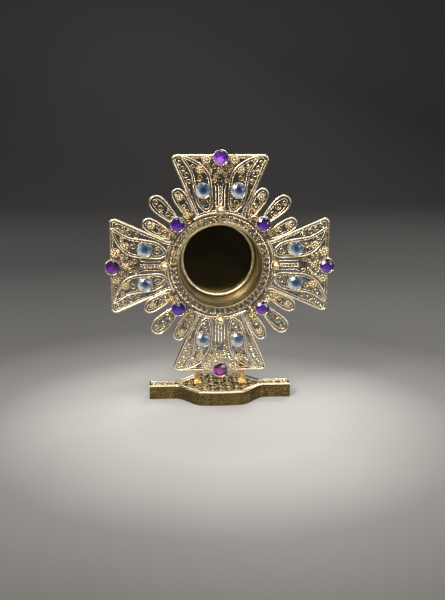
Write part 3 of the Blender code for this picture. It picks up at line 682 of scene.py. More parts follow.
# The wire's gilt painted lighter, as a painted highlight on the frame, leaf, rib and loop strips.
FRAME_WIRE = gilt(
    "frame_wire", "gilt_wire",
    (0.022, 0.014, 0.004), (0.44, 0.325, 0.165), (1.0, 0.87, 0.63), 0.23, 0.15, 0.15, 0.2
)
FLOWER_WIRE = gilt(
    "flower_wire", "gilt_wire", (0.02, 0.014, 0.006), (0.40, 0.30, 0.16), (0.97, 0.82, 0.56), 0.25, 0.15
)
GRANULE_GILT = gilt(
    "granules", "gilt_wire", (0.04, 0.027, 0.013), (0.40, 0.30, 0.17), (0.98, 0.85, 0.62), 0.25, 0.2
)
CUP_GILT = gilt(
    "cup_gilt", "bright_gilt", (0.16, 0.11, 0.06), (0.56, 0.45, 0.29), (0.90, 0.80, 0.62), 0.2, 0.1
)
POLISHED = gilt(
    "polished_gilt", "bright_gilt", (0.5, 0.41, 0.26), (0.74, 0.64, 0.45), (0.92, 0.84, 0.68), 0.2, 0.0, 0.05
)
BEAD_GILT = gilt(
    "bead_gilt", "bright_gilt",
    (0.42, 0.31, 0.15), (0.68, 0.53, 0.30), (0.92, 0.77, 0.52), 0.27, 0.0, 0.05, 0.1
)
DRUM_GILT = brushed_gilt(
    "drum_gilt", "bright_gilt", (0.43, 0.34, 0.16), (0.58, 0.475, 0.25), 0.29, 0.12, (0.004, 1.0, 0.004)
)
LID_GILT = brushed_gilt(
    "lid_gilt", "bright_gilt", (0.50, 0.38, 0.18), (0.82, 0.67, 0.40), 0.27, 0.12, (1.0, 1.0, 0.06)
)
SKIRT_GILT = gilt(
    "stamped_gilt", "antique_gilt", (0.02, 0.013, 0.004), (0.10, 0.067, 0.022), (0.32, 0.23, 0.09), 0.28, 0.1
)
FLOOR_GILT = brushed_gilt(
    "underside_gilt", "antique_gilt", (0.22, 0.15, 0.06), (0.52, 0.38, 0.19), 0.4, 0.25, (1.0, 0.05, 1.0)
)
FOOT_WIRE = gilt(
    "foot_wire", "gilt_wire", (0.02, 0.012, 0.004), (0.28, 0.19, 0.08), (0.76, 0.60, 0.35), 0.24, 0.2
)
RIM_GILT = gilt(
    "rim_gilt", "bright_gilt", (0.30, 0.22, 0.1), (0.66, 0.51, 0.28), (0.92, 0.80, 0.56), 0.17, 0.1
)
COPPER = gilt(
    "copper_gilt", "copper_gilt", (0.28, 0.13, 0.035), (0.62, 0.38, 0.13), (0.86, 0.62, 0.28), 0.26, 0.2
)
# Each stone's ramp runs from its darkest to its brightest painted facet light and reflection.
PURPLE = gem(
    "violet_stone",
    "purple_stone",
    [
        (0.0, (0.006, 0.0, 0.03)), (0.4, (0.04, 0.003, 0.17)), (0.75, (0.15, 0.015, 0.48)),
        (1.0, (0.45, 0.2, 0.88)),
    ],
    (2.2, 0.6, 0.55),
)
CLEAR = gem(
    "clear_stone",
    "clear_stone",
    [
        (0.0, (0.01, 0.02, 0.045)), (0.35, (0.07, 0.12, 0.19)), (0.7, (0.36, 0.44, 0.50)),
        (1.0, (0.90, 0.94, 0.96)),
    ],
    (0.9, 1.0, 1.0),
)
GLASS = glass()
VELVET = velvet()


# The arms of the cross

ARM_ROOT_HALF = 9.0
ARM_ROOT_RADIUS = math.hypot(ARM_LOW[2] - AXIS_Z, ARM_ROOT_HALF)
ARM_TIP_HALF = half_size("arm_top")[0]
ARM_CORNER = 1.9
ARM_LEAN = math.radians(23.5)  # how far an arm's sides lean out
ARM_SLOPE = math.tan(ARM_LEAN)
OUTER_STRIP = strip(0.92, ARM_DEPTH)
FINE_STRIP = strip(0.32, ARM_DEPTH * 0.8)
LEAF_STRIP = strip(0.58, ARM_DEPTH * 0.95)
SWAG_STRIP = strip(0.72, ARM_DEPTH * 0.8)
SWAG_RADIUS = 19.1
SWAG_FROM, SWAG_TO = 8.5, 29.5  # degrees off the arm's middle
CURL_WIRE = flattened(0.4, ARM_DEPTH * 0.8)
FINE_WIRE = flattened(0.32, ARM_DEPTH * 0.55)

# The right-hand leaf of an arm, up its inner side and down its outer side
ARM_LEAF = through(
    [
        (2.9, 21.4), (3.0, 26.5), (3.5, 31.0), (5.2, 34.3), (8.4, 36.9), (12.3, 38.5), (13.5, 37.9),
        (11.6, 35.0), (10.2, 32.2), (9.6, 28.6), (9.0, 24.8), (7.7, 21.4), (4.8, 19.2),
    ],
    closed=True,
)
LEAF_TIP = int(np.argmax(ARM_LEAF[:, 0]))
LEAF_INSIDE = inset(ARM_LEAF, -0.78, 4)
LEAF_ROSETTE = (7.2, 33.9, 1.5)  # across, outward and radius
TIP_ROSETTE = (4.75, 37.4, 1.75)
CREST_ROSETTE = (0.0, 33.9, 1.25)
RIBS = (0.55, 1.6)  # each rib's distance from the middle
RIB_TOP = 28.5
LEAF_CURL_SIZES = (1.5, 1.2, 0.9, 0.55)  # the radii of the circles that a panel is packed with
EDGE_CURL_SIZES = (1.7, 1.4, 1.1, 0.55)
CENTRE_CURL_SIZES = (1.0, 0.78, 0.5)
SMALL_CURL = 0.75  # a circle under this is a ring
WANDER = 0.05  # a step off the true place, as handwork has
COIL_SHARE = 0.9  # of a circle's radius, taken by its coil
RING_SHARE = 0.8  # and by its ring
COIL_TURNS = 1.05  # the fewest turns of a coil
COIL_TURNS_SCATTER = 0.15
COIL_TURNS_A_MM = 0.06  # more turns for each millimetre of its size
COIL_TAIL, COIL_CORE = 0.8, 0.3
GRAIN_SHARE = 0.4  # of the rings that hold a granule
CUP_ROOM = half_size("cup_tip_top")[0] + 0.1
OUTLINE_INSET = 0.46  # from an arm's outline to the middle of its outer strip
LINING_INSET = 1.32  # and to the fine strip inside that
FINE_MILLING = (0.5, 0.18)  # the pitch and depth of the notches in the fine strip
ROSETTE_TURNS = 2.4
ROSETTE_GRAINS = 0.62  # how far out its granules stand
RIB_ROOT, RIB_BEND = 21.2, 26.8
RIB_SPREAD = 1.25  # how much further from the middle a rib ends than it starts
GRAIN_ROW = (22.4, 1.15)  # where the row of granules between the ribs starts, and its pitch
ROOT_GRAIN = 21.75
SEAT_FRONT, SEAT_BACK = 1.0, 0.1


def arm_half(outward):
    """Half the width of an arm at a distance from the drum's axis."""
    return ARM_ROOT_HALF + ARM_SLOPE * (outward - ARM_ROOT_RADIUS)


def arm_plan():
    """The outline of an arm, anticlockwise from the left end of its root."""
    half_angle = math.degrees(math.asin(ARM_ROOT_HALF / ARM_ROOT_RADIUS))
    root = round_arc(ARM_ROOT_RADIUS, 90 + half_angle, 90 - half_angle)
    corner_v = ARM_REACH - ARM_CORNER
    rise = np.linspace(ARM_LOW[2] - AXIS_Z + 1.0, corner_v - 1.2, 12)
    side = np.array([(arm_half(max(v, ARM_ROOT_RADIUS)), v) for v in rise])
    corner = round_arc(ARM_CORNER, -math.degrees(ARM_LEAN), 90, ARM_TIP_HALF - ARM_CORNER, corner_v, 10)
    right = np.vstack([side, corner])
    return np.vstack([root, right, mirrored(right)[::-1]])


def leaf_fill():
    """The circles inside the right-hand leaf, round its clear stone and its rosette."""
    clear = face_centre("stone_clear_top_b")
    return packed(LEAF_INSIDE, [(*clear, CUP_ROOM), LEAF_ROSETTE], LEAF_CURL_SIZES)


def edge_fill():
    """The circles between the right-hand leaf and the frame."""
    rise = np.linspace(20.6, ARM_REACH - 1.4, 24)
    wall = np.array([(arm_half(max(v, ARM_ROOT_RADIUS)) - 1.15, v) for v in rise])
    leaf = beside(ARM_LEAF, 0.25, True)[LEAF_TIP:-12]
    return packed(np.vstack([leaf, wall]), [], EDGE_CURL_SIZES)


def centre_fill():
    """The circles of the right half of the middle panel, clear of its ribs, rosettes, stone and bead."""
    leaf = beside(ARM_LEAF, 0.25, True)[:LEAF_TIP]
    top = [(11.0, ARM_REACH - 1.2), (0.0, ARM_REACH - 1.2), (0.0, 19.4), (2.4, 19.4)]
    solids = [(0.0, face_centre("stone_tip_top")[1], CUP_ROOM), (0.0, face_centre("bead_top")[1], 1.8)]
    solids += [TIP_ROSETTE, CREST_ROSETTE]
    solids += [(x, v, 0.3) for x in RIBS for v in np.arange(21.4, RIB_TOP, 0.3)]
    return packed(np.vstack([leaf, top]), solids, CENTRE_CURL_SIZES)


def fill(coils, rings, granules, circles, hand=1, lean=0.0, forward=0.0):
    """A coiled wire in each circle, by turns to either hand, or in a small one a ring and some granules."""
    for k, (x, y, size) in enumerate(circles):
        x, y = spun(x * hand, y, lean) + RANDOM.normal(0, WANDER, 2)
        if size < SMALL_CURL:
            circle = ring(size * RING_SHARE, 18, x, y)
            milled_wire(rings, circle, FINE_WIRE, closed=True, forward=forward - 0.2)
            if RANDOM.uniform() < GRAIN_SHARE:
                granule(granules, x, y, forward + 0.1, size * 0.5)
            continue
        start = RANDOM.uniform(0, 360)
        turns = COIL_TURNS + RANDOM.uniform(0, COIL_TURNS_SCATTER) + COIL_TURNS_A_MM * size
        way = hand if k % 2 else -hand
        path = curl(x, y, size * COIL_SHARE, start, way, turns, COIL_TAIL, COIL_CORE)
        milled_wire(coils, path, CURL_WIRE, 0.4, 0.1, forward=forward + RANDOM.uniform(-0.05, 0.15))


ARM_FILL = leaf_fill() + edge_fill() + centre_fill()


def rosette(coils, granules, x, y, radius, forward, petals=7):
    """A flower: a coiled wire with a ring of granules on it and one more in the middle."""
    spiral = coil(x, y, radius, RANDOM.uniform(0, 360), 1, ROSETTE_TURNS, 0.12)
    milled_wire(coils, spiral, CURL_WIRE, forward=forward)
    milled_wire(coils, ring(radius, 40, x, y), FINE_WIRE, closed=True, forward=forward)
    top = forward + ARM_DEPTH * 0.3
    start = RANDOM.uniform(0, 1)
    for k in range(petals):
        angle = start + TURN * k / petals
        reach = radius * ROSETTE_GRAINS
        granule(granules, x + reach * math.cos(angle), y + reach * math.sin(angle), top, radius * 0.26)
    granule(granules, x, y, top + radius * 0.12, radius * 0.33)


def seat(shape, x, y, radius=1.5):
    """The disc under a stone's cup, in painted shade."""
    profile = [(0.0, SEAT_FRONT), (radius, SEAT_FRONT), (radius, SEAT_BACK), (0.0, SEAT_BACK)]
    turned(shape, profile, 24, x, y, relief=0.2)


# The strips wear the gilt painted lighter as a painted highlight, and the infill the gilt in painted shade.
FILIGREE = {
    "frame": FRAME_WIRE, "leaves": FRAME_WIRE, "ribs": FRAME_WIRE, "loops": FRAME_WIRE, "scrolls": WIRE,
    "infill": PAINTED_SHADE_WIRE, "rosettes": FLOWER_WIRE, "granules": GRANULE_GILT,
}


def filigree(node, angle, **parts):
    """The pieces of one arm or spray. The first of them stands for its CAD node."""
    for k, (part, shape) in enumerate(parts.items()):
        piece(f"{node}_{part}", shape, FILIGREE[part], facing(angle), () if k else [node])


def make_arm(side, angle):
    edge, leaves, scrolls, infill, ribs, flowers, granules = shapes(7)
    outline = even(arm_plan(), 0.4, True)
    plain_wire(edge, beside(outline, OUTLINE_INSET, True), OUTER_STRIP, True, tint=0.1)
    milled_wire(edge, inset(outline, LINING_INSET, 3), FINE_STRIP, *FINE_MILLING, True, tint=0.4)
    for hand in (1, -1):
        plain_wire(leaves, ARM_LEAF * (hand, 1.0), LEAF_STRIP, True, forward=0.1, tint=0.2)
        milled_wire(leaves, LEAF_INSIDE * (hand, 1.0), FINE_STRIP, *FINE_MILLING, True, tint=0.5)
        fill(scrolls, infill, granules, ARM_FILL, hand)
        for (x, y, radius), forward, petals in ((LEAF_ROSETTE, 0.2, 7), (TIP_ROSETTE, 0.35, 8)):
            rosette(flowers, granules, x * hand, y, radius, forward, petals)
        for rib in RIBS:
            across = rib * hand
            path = through([(across, RIB_ROOT), (across, RIB_BEND), (across * RIB_SPREAD, RIB_TOP)])
            milled_wire(ribs, path, FINE_STRIP, 0.45, 0.2, forward=0.1, tint=0.4)
        swag = round_arc(SWAG_RADIUS, 90 - SWAG_FROM, 90 - SWAG_TO) * (hand, 1.0)
        plain_wire(ribs, swag, SWAG_STRIP, forward=0.5, tint=0.1)
        seat(leaves, *face_centre(f"stone_clear_top_{'b' if hand > 0 else 'a'}"), 1.3)
    rosette(flowers, granules, *CREST_ROSETTE, 0.35, 6)
    for outward in np.arange(GRAIN_ROW[0], RIB_TOP, GRAIN_ROW[1]):
        granule(granules, 0.0, outward, 0.35, 0.3)
    granule(granules, 0.0, ROOT_GRAIN, 1.0, 0.5)
    seat(leaves, *face_centre("stone_tip_top"))
    filigree(
        f"arm_{side}", angle, frame=edge, leaves=leaves, scrolls=scrolls, infill=infill, ribs=ribs,
        rosettes=flowers, granules=granules,
    )


# The sprays of petals between the arms

LONG_TIP, LONG_HALF = 34.4, 2.6
SIDE_TIP, SIDE_HALF = 31.6, 2.25
SIDE_LEAN = 14.5
PETAL_STRIP = strip(0.66, 1.2)
PETAL_FINE = strip(0.28, 0.9)
# Across, outward, radius, start angle and hand
SHOULDER_CURLS = [(3.6, 21.2, 0.95, 200, 1), (4.9, 22.9, 0.8, 20, 1), (5.3, 20.4, 0.7, 20, -1)]


def petal(tip, half, root=20.7, root_half=0.75):
    """The outline of a petal: a round tip, widest near its top, and a narrow root."""
    right = [(root_half, root), (half * 0.72, tip - 9.2), (half * 0.96, tip - 5.6), (half, tip - 3.2)]
    top = [(half * 0.74, tip - 1.0), (0.0, tip - 0.1)]
    left = [(-x, y) for x, y in reversed(right + top[:1])]
    return through(right + top + left)


def loop_fill(tip, half, solids, sizes):
    """The circles inside a petal."""
    outline = softened(petal(tip - 0.95, half - 0.95, 21.0, 0.3), 2)
    return packed(outline, solids, sizes)


SPRAY_ROSETTE = (0.0, 28.4, 1.3)
LONG_FILL = loop_fill(LONG_TIP, LONG_HALF, [], (1.3, 1.0, 0.72, 0.5, 0.36))
SIDE_FILL = loop_fill(SIDE_TIP, SIDE_HALF, [SPRAY_ROSETTE], (0.95, 0.7, 0.5, 0.36))
SECTOR_HALF = 17  # degrees each side of a spray's middle
SECTOR_SIZES = (0.9, 0.66, 0.48, 0.36)
# The ground between the band round the drum and the roots of the petals
SPRAY_SECTOR = np.vstack([round_arc(18.4, 90 + SECTOR_HALF, 90 - SECTOR_HALF), round_arc(22.0, 75, 105)])


def make_spray(corner, angle):
    loops, scrolls, infill, flowers, granules = shapes(5)
    plain_wire(loops, petal(LONG_TIP, LONG_HALF), PETAL_STRIP, tint=0.1)
    inner = softened(petal(LONG_TIP - 1.0, LONG_HALF - 0.95, 21.5, 0.4), 2)
    plain_wire(loops, inner, PETAL_FINE, tint=0.4)
    fill(scrolls, infill, granules, LONG_FILL)
    for lean in (SIDE_LEAN, -SIDE_LEAN):
        plain_wire(loops, rotated(petal(SIDE_TIP, SIDE_HALF, 20.4), lean), PETAL_STRIP, tint=0.15)
        inner = softened(petal(SIDE_TIP - 0.95, SIDE_HALF - 0.9, 21.2, 0.3), 2)
        milled_wire(loops, rotated(inner, lean), PETAL_FINE, 0.45, 0.2, tint=0.4)
        fill(scrolls, infill, granules, SIDE_FILL, lean=lean)
        x, y, radius = SPRAY_ROSETTE
        rosette(flowers, granules, *spun(x, y, lean), radius, 0.25)
    stone = np.linalg.norm(face_centre("stone_upper_right"))
    circles = packed(SPRAY_SECTOR, [(0.0, stone, CUP_ROOM * 0.8)], SECTOR_SIZES)
    fill(scrolls, infill, granules, circles, forward=0.15)
    for side in (1, -1):
        for x, y, radius, start, turn in SHOULDER_CURLS:
            path = curl(x, y, radius, start + RANDOM.normal(0, 10), turn, 1.5, 1.1)
            milled_wire(scrolls, path * (side, 1.0), CURL_WIRE, forward=RANDOM.uniform(0.1, 0.3))
            granule(granules, x * side, y, 0.55, radius * 0.32)
    band = round_arc(ARM_ROOT_RADIUS + 0.35, 90 - SECTOR_HALF, 90 + SECTOR_HALF)
    milled_wire(infill, band, PETAL_FINE, 0.5, 0.3, tint=0.3)
    seat(loops, 0.0, stone)
    filigree(
        f"petals_{corner}", angle, loops=loops, scrolls=scrolls, infill=infill, rosettes=flowers,
        granules=granules,
    )


# The band of filigree round the drum

HALO_OUTER = half_size("halo_band")[0]
HALO_GRAINS = ((15.95, 58, 0.4), (17.6, 62, 0.38))  # the radius of a row, how many, and their size
HALO_CURLS = (16.8, 46, 0.6)
HALO_RINGS = (16.4, 17.2)


def around(radius, count):
    """Places round the drum, a little uneven."""
    turns = (np.arange(count) + RANDOM.uniform(-0.15, 0.15, count)) * 360 / count
    return [spun(0.0, radius + RANDOM.normal(0, 0.06), turn) for turn in turns]


def make_halo():
    rings, scrolls, infill, granules = shapes(4)
    milled_wire(rings, ring(HALO_OUTER - 0.2, 180), FINE_STRIP, 0.6, 0.3, True, tint=0.1)
    for radius in HALO_RINGS:
        milled_wire(infill, ring(radius, 160), FINE_STRIP, 0.5, 0.3, True, forward=-0.3, tint=0.4)
    for radius, count, size in HALO_GRAINS:
        for x, y in around(radius, count):
            granule(granules, x, y, RANDOM.uniform(0.2, 0.45), size * RANDOM.uniform(0.75, 1.1))
    radius, count, size = HALO_CURLS
    for x, y in around(radius, count):
        path = curl(x, y, size, RANDOM.uniform(0, 360), 1, 1.3, 0.8)
        milled_wire(scrolls, path, FINE_WIRE, forward=RANDOM.uniform(0.1, 0.4))
    place = facing()
    piece("halo_rings", rings, WIRE, place, ["halo_band"])
    piece("halo_infill", infill, PAINTED_SHADE_WIRE, place)
    piece("halo_scrolls", scrolls, FLOWER_WIRE, place)
    piece("halo_granules", granules, GRANULE_GILT, place)


# Stones in their cups, and the polished beads

CUP_WALL = 0.3
FLUTE_DEPTH = 0.035
FACETS = 8  # round a stone
CROWN = 0.75  # a stone's height above its girdle
GIRDLE = 0.15
TABLE_SHARE = 0.56  # of the radius, out to the corners of the table
STAR_SHARE = 0.80
STAR_RISE = 0.62  # of the crown's height
LIT_FROM = math.radians(250)  # facets that face down and to the left get the most painted light
FACET_SCATTER = 0.08


def on_arm(node, angle):
    """The back and front of a round node, its centre in its own arm's (across, outward), and its radius."""
    return *forward_span(node), *spun(*face_centre(node), angle), half_size(node)[0]


def make_cup(name, angle):
    node = f"cup_{name}"
    low, high, x, y, outer = on_arm(node, angle)
    inner = outer - CUP_WALL
    profile = [
        (outer - 0.12, high + 0.1), (outer, high - 0.3), (outer - 0.1, low + 0.35), (outer - 0.45, low),
        (0.0, low), (0.0, low + 0.25), (inner, low + 0.25), (inner, high + 0.02),
    ]
    wall = Shape()
    turned(wall, rounded(profile, 0.11), 80, x, y, relief=0.8, flutes=FLUTE_DEPTH)
    twisted_ring(wall, outer - 0.2, 0.2, 0.7, low + 0.12, x=x, y=y, steps=60)
    piece(f"{node}_wall", wall, CUP_GILT, facing(angle), [node])


def make_stone(name, angle, material, style, tint=0.0):
    node = f"stone_{name}"
    low, high, x, y, radius = on_arm(node, angle)
    girdle = high - CROWN
    star_height = girdle + CROWN * STAR_RISE
    spin = RANDOM.uniform(0, TURN / FACETS)
    table, star, rim, culet = style
    cut = Shape()

    def at(share, step, forward):
        turn = spin + TURN * step / FACETS
        return (x + radius * share * math.cos(turn), y + radius * share * math.sin(turn), forward)

    # A facet's painted light: a base, swung by how the facet faces LIT_FROM, and scattered at random.
    def shade(step, base, swing):
        toward = math.cos(spin + TURN * step / FACETS - math.radians(angle) - LIT_FROM)
        return float(np.clip(base + swing * toward + RANDOM.normal(0, FACET_SCATTER), 0.0, 1.0))

    def facet(shades, *corners):
        """A flat facet with its own points, so that its edges stay crisp."""
        face = [range(len(corners))]
        quads, triangles = (face, []) if len(corners) == 4 else ([], face)
        cut.add(corners, quads, triangles, shades, tint)

    for k in range(FACETS):
        painted_table_light = shade(k + 0.5, table, 0.28)
        left, right = at(TABLE_SHARE, k, high), at(TABLE_SHARE, k + 1, high)
        before, after = at(STAR_SHARE, k - 0.5, star_height), at(STAR_SHARE, k + 0.5, star_height)
        facet([culet, painted_table_light, painted_table_light], (x, y, high), left, right)
        facet(shade(k + 0.5, star, 0.3), left, after, right)
        facet(shade(k, star, 0.35), left, before, at(1.0, k, girdle), after)
        for near in (k, k + 0.5):
            ends = at(1.0, near, girdle), at(1.0, near + 0.5, girdle)
            under = at(1.0, near, girdle - GIRDLE), at(1.0, near + 0.5, girdle - GIRDLE)
            facet(shade(near + 0.25, rim, 0.3), after, *ends)
            facet(shade(near, rim, 0.1), ends[1], ends[0], *under)
            facet(shade(near, table, 0.2), under[1], under[0], (x, y, low))
    piece(f"{node}_cut", cut, material, facing(angle), [node], smooth=False)


def make_bead(side, angle):
    node = f"bead_{side}"
    low, high, x, y, radius = on_arm(node, angle)
    centre = high - radius
    sphere, collar = shapes(2)
    ball(sphere, x, y, centre, radius, 24, 40, 1.0)
    neck = centre - 0.6
    flare = [(0.0, neck), (radius * 0.72, neck), (radius * 0.8, neck - 0.3), (radius * 1.12, low), (0.0, low)]
    turned(collar, flare, 40, x, y, relief=0.7, tint=0.9)
    twisted_ring(collar, radius * 0.98, 0.2, 0.6, low + 0.1, 1.0, x, y, steps=40)
    piece(f"{node}_ball", sphere, BEAD_GILT, facing(angle), [node])
    piece(f"{node}_collar", collar, COPPER, facing(angle))


# The painted light of the table, the star, the rim and the middle
VIOLET_STYLE = (0.38, 0.30, 0.42, 0.5)
# The top stone takes more painted light.
LIT_VIOLET_STYLE = (0.82, 0.64, 0.7, 0.95)
MAGENTA_STYLE = (0.5, 0.38, 0.45, 0.62)
TIP_STONES = {  # the style, and how far it leans to magenta
    "top": (LIT_VIOLET_STYLE, 0.1),
    "right": (VIOLET_STYLE, 0.0),
    "bottom": (MAGENTA_STYLE, 1.0),
    "left": (VIOLET_STYLE, 0.45),
}
CLEAR_STYLE = (0.28, 0.5, 0.72, 0.02)


def make_stones():
    for side, angle in SIDES.items():
        make_cup(f"tip_{side}", angle)
        make_stone(f"tip_{side}", angle, PURPLE, *TIP_STONES[side])
        for letter in "ab":
            make_cup(f"clear_{side}_{letter}", angle)
            make_stone(f"clear_{side}_{letter}", angle, CLEAR, CLEAR_STYLE)
        make_bead(side, angle)
    for corner, angle in CORNERS.items():
        make_cup(corner, angle)
        make_stone(corner, angle, PURPLE, VIOLET_STYLE)


# The drum, the theca inside it, and the lid on its hinge

DRUM_RADIUS = 15.0
DRUM_WALL = 0.6
DRUM_WIRES = (DRUM_FRONT - 3.2, DRUM_BACK + 0.9, DRUM_BACK + 6.8)
DRUM_GRAINS = 48
RIM_LIP = 0.5  # the width of the rim's front face
CASE_FRONT = forward_span("theca_bezel")[1] + 0.6  # where the wall thins, just in front of the theca
CASE_RADIUS = 13.9
CASE_WALL = 0.6
LINING_RADIUS = 12.9
LID_RADIUS = 15.0
LID_FACE = DRUM_BACK - 0.3  # the lid's inner face
LID_BACK = LID_FACE - 0.8
LID_BOSS = 11.5
LID_BOSS_RISE = 0.35
RIM_GROOVE = 13.6
BOSS_GROOVES = (9.6, 8.9, 3.2)
LID_PETALS = 12
LID_BOSS_FACE = LID_BACK - LID_BOSS_RISE
KNUCKLE_RADIUS, KNUCKLE_BORE, KNUCKLE_HALF = 1.1, 0.5, 1.5


def make_drum():
    shell, bands = shapes(2)
    inner = DRUM_RADIUS - DRUM_WALL
    lip = RIM_RADIUS - RIM_LIP
    profile = [
        (RIM_RADIUS - 0.05, DRUM_FRONT), (RIM_RADIUS, DRUM_FRONT - 0.6), (DRUM_RADIUS, DRUM_FRONT - 0.9),
        (DRUM_RADIUS, DRUM_BACK), (inner, DRUM_BACK), (inner, CASE_FRONT), (lip, CASE_FRONT + 0.4),
        (lip, DRUM_FRONT),
    ]
    turned(shell, rounded(profile, 0.14), 160)
    for forward in DRUM_WIRES:
        twisted_ring(bands, DRUM_RADIUS + 0.12, 0.17, 0.8, forward)
    for turn in np.arange(DRUM_GRAINS) * 360 / DRUM_GRAINS:
        granule(bands, *spun(0.0, DRUM_RADIUS + 0.1, turn), DRUM_BACK + 1.45, 0.19)
    piece("drum_shell", shell, DRUM_GILT, facing(), ["drum"])
    piece("drum_bands", bands, CUP_GILT, facing())


def make_theca():
    back, front = forward_span("theca_bezel")
    outer = half_size("theca_bezel")[0]
    opening = outer - 1.25
    bezel, case, pane, backing = shapes(4)
    profile = [
        (outer - 0.45, front), (outer, front - 0.4), (outer, back), (opening, back),
        (opening, front - 0.6), (opening + 0.25, front - 0.4), (opening + 0.4, front - 0.1),
    ]
    turned(bezel, rounded(profile, 0.12), 160, relief=0.95)
    twisted_ring(bezel, opening + 0.14, 0.12, 0.5, front - 0.38, 0.2)
    back, front = forward_span("theca_case")
    outside = [
        (CASE_RADIUS, front), (CASE_RADIUS, back + 0.3), (CASE_RADIUS - 0.3, back), (9.5, back),
        (9.3, back + 0.12), (0.0, back + 0.12),
    ]
    bore = CASE_RADIUS - CASE_WALL
    hollow = [(0.0, back + CASE_WALL), (bore, back + CASE_WALL), (bore, front)]
    turned(case, [*rounded(outside, 0.1, False), *hollow], 128)
    back, front = forward_span("theca_glass")
    profile = [(0.0, front), (12.7, front), (13.0, front - 0.3), (13.0, back), (0.0, back)]
    turned(pane, rounded(profile, 0.08, False), 128)
    back, front = forward_span("theca_backing")
    reach = np.linspace(0, LINING_RADIUS, 30)
    swell = front - 0.02 - 0.05 * (reach / LINING_RADIUS) ** 4
    turned(backing, [*zip(reach, swell), (LINING_RADIUS, back), (0.0, back)], 128)
    piece("theca_bezel_ring", bezel, POLISHED, facing(), ["theca_bezel"], "theca")
    piece("theca_case_shell", case, DRUM_GILT, facing(), ["theca_case"], "theca")
    piece("theca_pane", pane, GLASS, facing(), ["theca_glass"], "theca")
    piece("theca_lining", backing, VELVET, facing(), ["theca_backing"], "theca")


def groove(radius, face):
    """A fine engraved line round the lid's back."""
    return [(radius + 0.16, face), (radius, face + 0.14), (radius - 0.16, face)]


def lid_profile():
    """The lid from its middle inside face, round its edge, to the middle of its boss."""
    profile = [
        (0.0, LID_FACE), (13.4, LID_FACE), (13.4, LID_FACE + 0.4), (14.05, LID_FACE + 0.4), (14.05, LID_FACE),
        (LID_RADIUS, LID_FACE), (LID_RADIUS, LID_BACK), *groove(RIM_GROOVE, LID_BACK),
        (LID_BOSS, LID_BACK), (LID_BOSS - 0.5, LID_BOSS_FACE),
    ]
    for radius in BOSS_GROOVES:
        profile += groove(radius, LID_BOSS_FACE)
    return profile + [(0.0, LID_BOSS_FACE)]


def knuckle(shape, low, high):
    """One barrel of the hinge, from a height to a height."""
    wall = [(KNUCKLE_RADIUS, high), (KNUCKLE_RADIUS, low), (KNUCKLE_BORE, low), (KNUCKLE_BORE, high)]
    turned(shape, rounded(wall), 48)


def make_lid():
    disc, trim, barrel = shapes(3)
    turned(disc, rounded(lid_profile(), 0.12, False), 144)
    pin = middle("hinge_pin")
    back, face = LID_BACK + 0.05, LID_FACE - 0.05
    slab(disc, (LID_RADIUS - 0.8, -1.45, back), (pin[0], 1.45, face), 0.1)
    slab(disc, (-17.2, -2.2, back), (0.8 - LID_RADIUS, 2.2, face), 0.22)
    for across in (-16.7, -16.2, -15.7):
        path = np.array([(across, -1.7), (across, 0.0), (across, 1.7)])
        plain_wire(trim, path, flattened(0.22, 0.22), forward=LID_BACK + 0.06)
    twisted_ring(trim, LID_BOSS + 0.12, 0.2, 0.8, LID_BACK - 0.08, steps=140)
    for turn in np.arange(LID_PETALS) * 360 / LID_PETALS:
        petal_path = rotated(petal(8.3, 0.95, 3.7, 0.2), turn)
        plain_wire(trim, petal_path, flattened(0.24, 0.3), forward=LID_BOSS_FACE, tint=0.3)
        granule(trim, *spun(0.0, 7.0, turn + 15), LID_BOSS_FACE + 0.05, 0.26)
    knuckle(barrel, -KNUCKLE_HALF, KNUCKLE_HALF)
    hinge = Matrix.Translation(Vector((pin[0], pin[1], AXIS_Z)) * MM) @ UPRIGHT
    piece("rear_lid_disc", disc, LID_GILT, facing(), ["rear_lid"], "rear_lid")
    piece("rear_lid_trim", trim, CUP_GILT, facing(), (), "rear_lid")
    piece("rear_lid_knuckle", barrel, POLISHED, hinge, (), "rear_lid")
    make_hinge(hinge)


def make_hinge(hinge):
    plate, knuckles, pin = shapes(3)
    leaf_low, leaf_high = box_mm("hinge_leaf")
    left = leaf_low[0]
    back, front = FACE_Y - (box_mm("hinge_pin")[0][1] - 0.7), FACE_Y - leaf_low[1]
    reach = (leaf_high[2] - leaf_low[2]) / 2
    slab(plate, (left, -reach, back + 0.3), (left + 0.6, reach, front), 0.12)
    for across in (-1, 1):
        low, high = sorted((across * (KNUCKLE_HALF + 0.25), across * (reach - 0.05)))
        slab(plate, (left + 0.05, low, back - 0.6), (left + 0.55, high, back + 0.6), 0.08)
        low, high = sorted((across * (KNUCKLE_HALF + 0.15), across * reach))
        knuckle(knuckles, low, high)
    tip = half_size("hinge_pin")[2]
    half = [(0.0, tip), (0.35, tip - 0.03), (0.62, tip - 0.14), (0.75, tip - 0.36), (0.42, tip - 0.4)]
    turned(pin, rounded(half + [(r, -z) for r, z in reversed(half)], 0.03, False), 40)
    piece("hinge_leaf_plate", plate, POLISHED, facing(), ["hinge_leaf"])
    piece("hinge_leaf_knuckles", knuckles, POLISHED, hinge)
    piece("hinge_pin_rod", pin, CUP_GILT, hinge, ["hinge_pin"])


# The foot

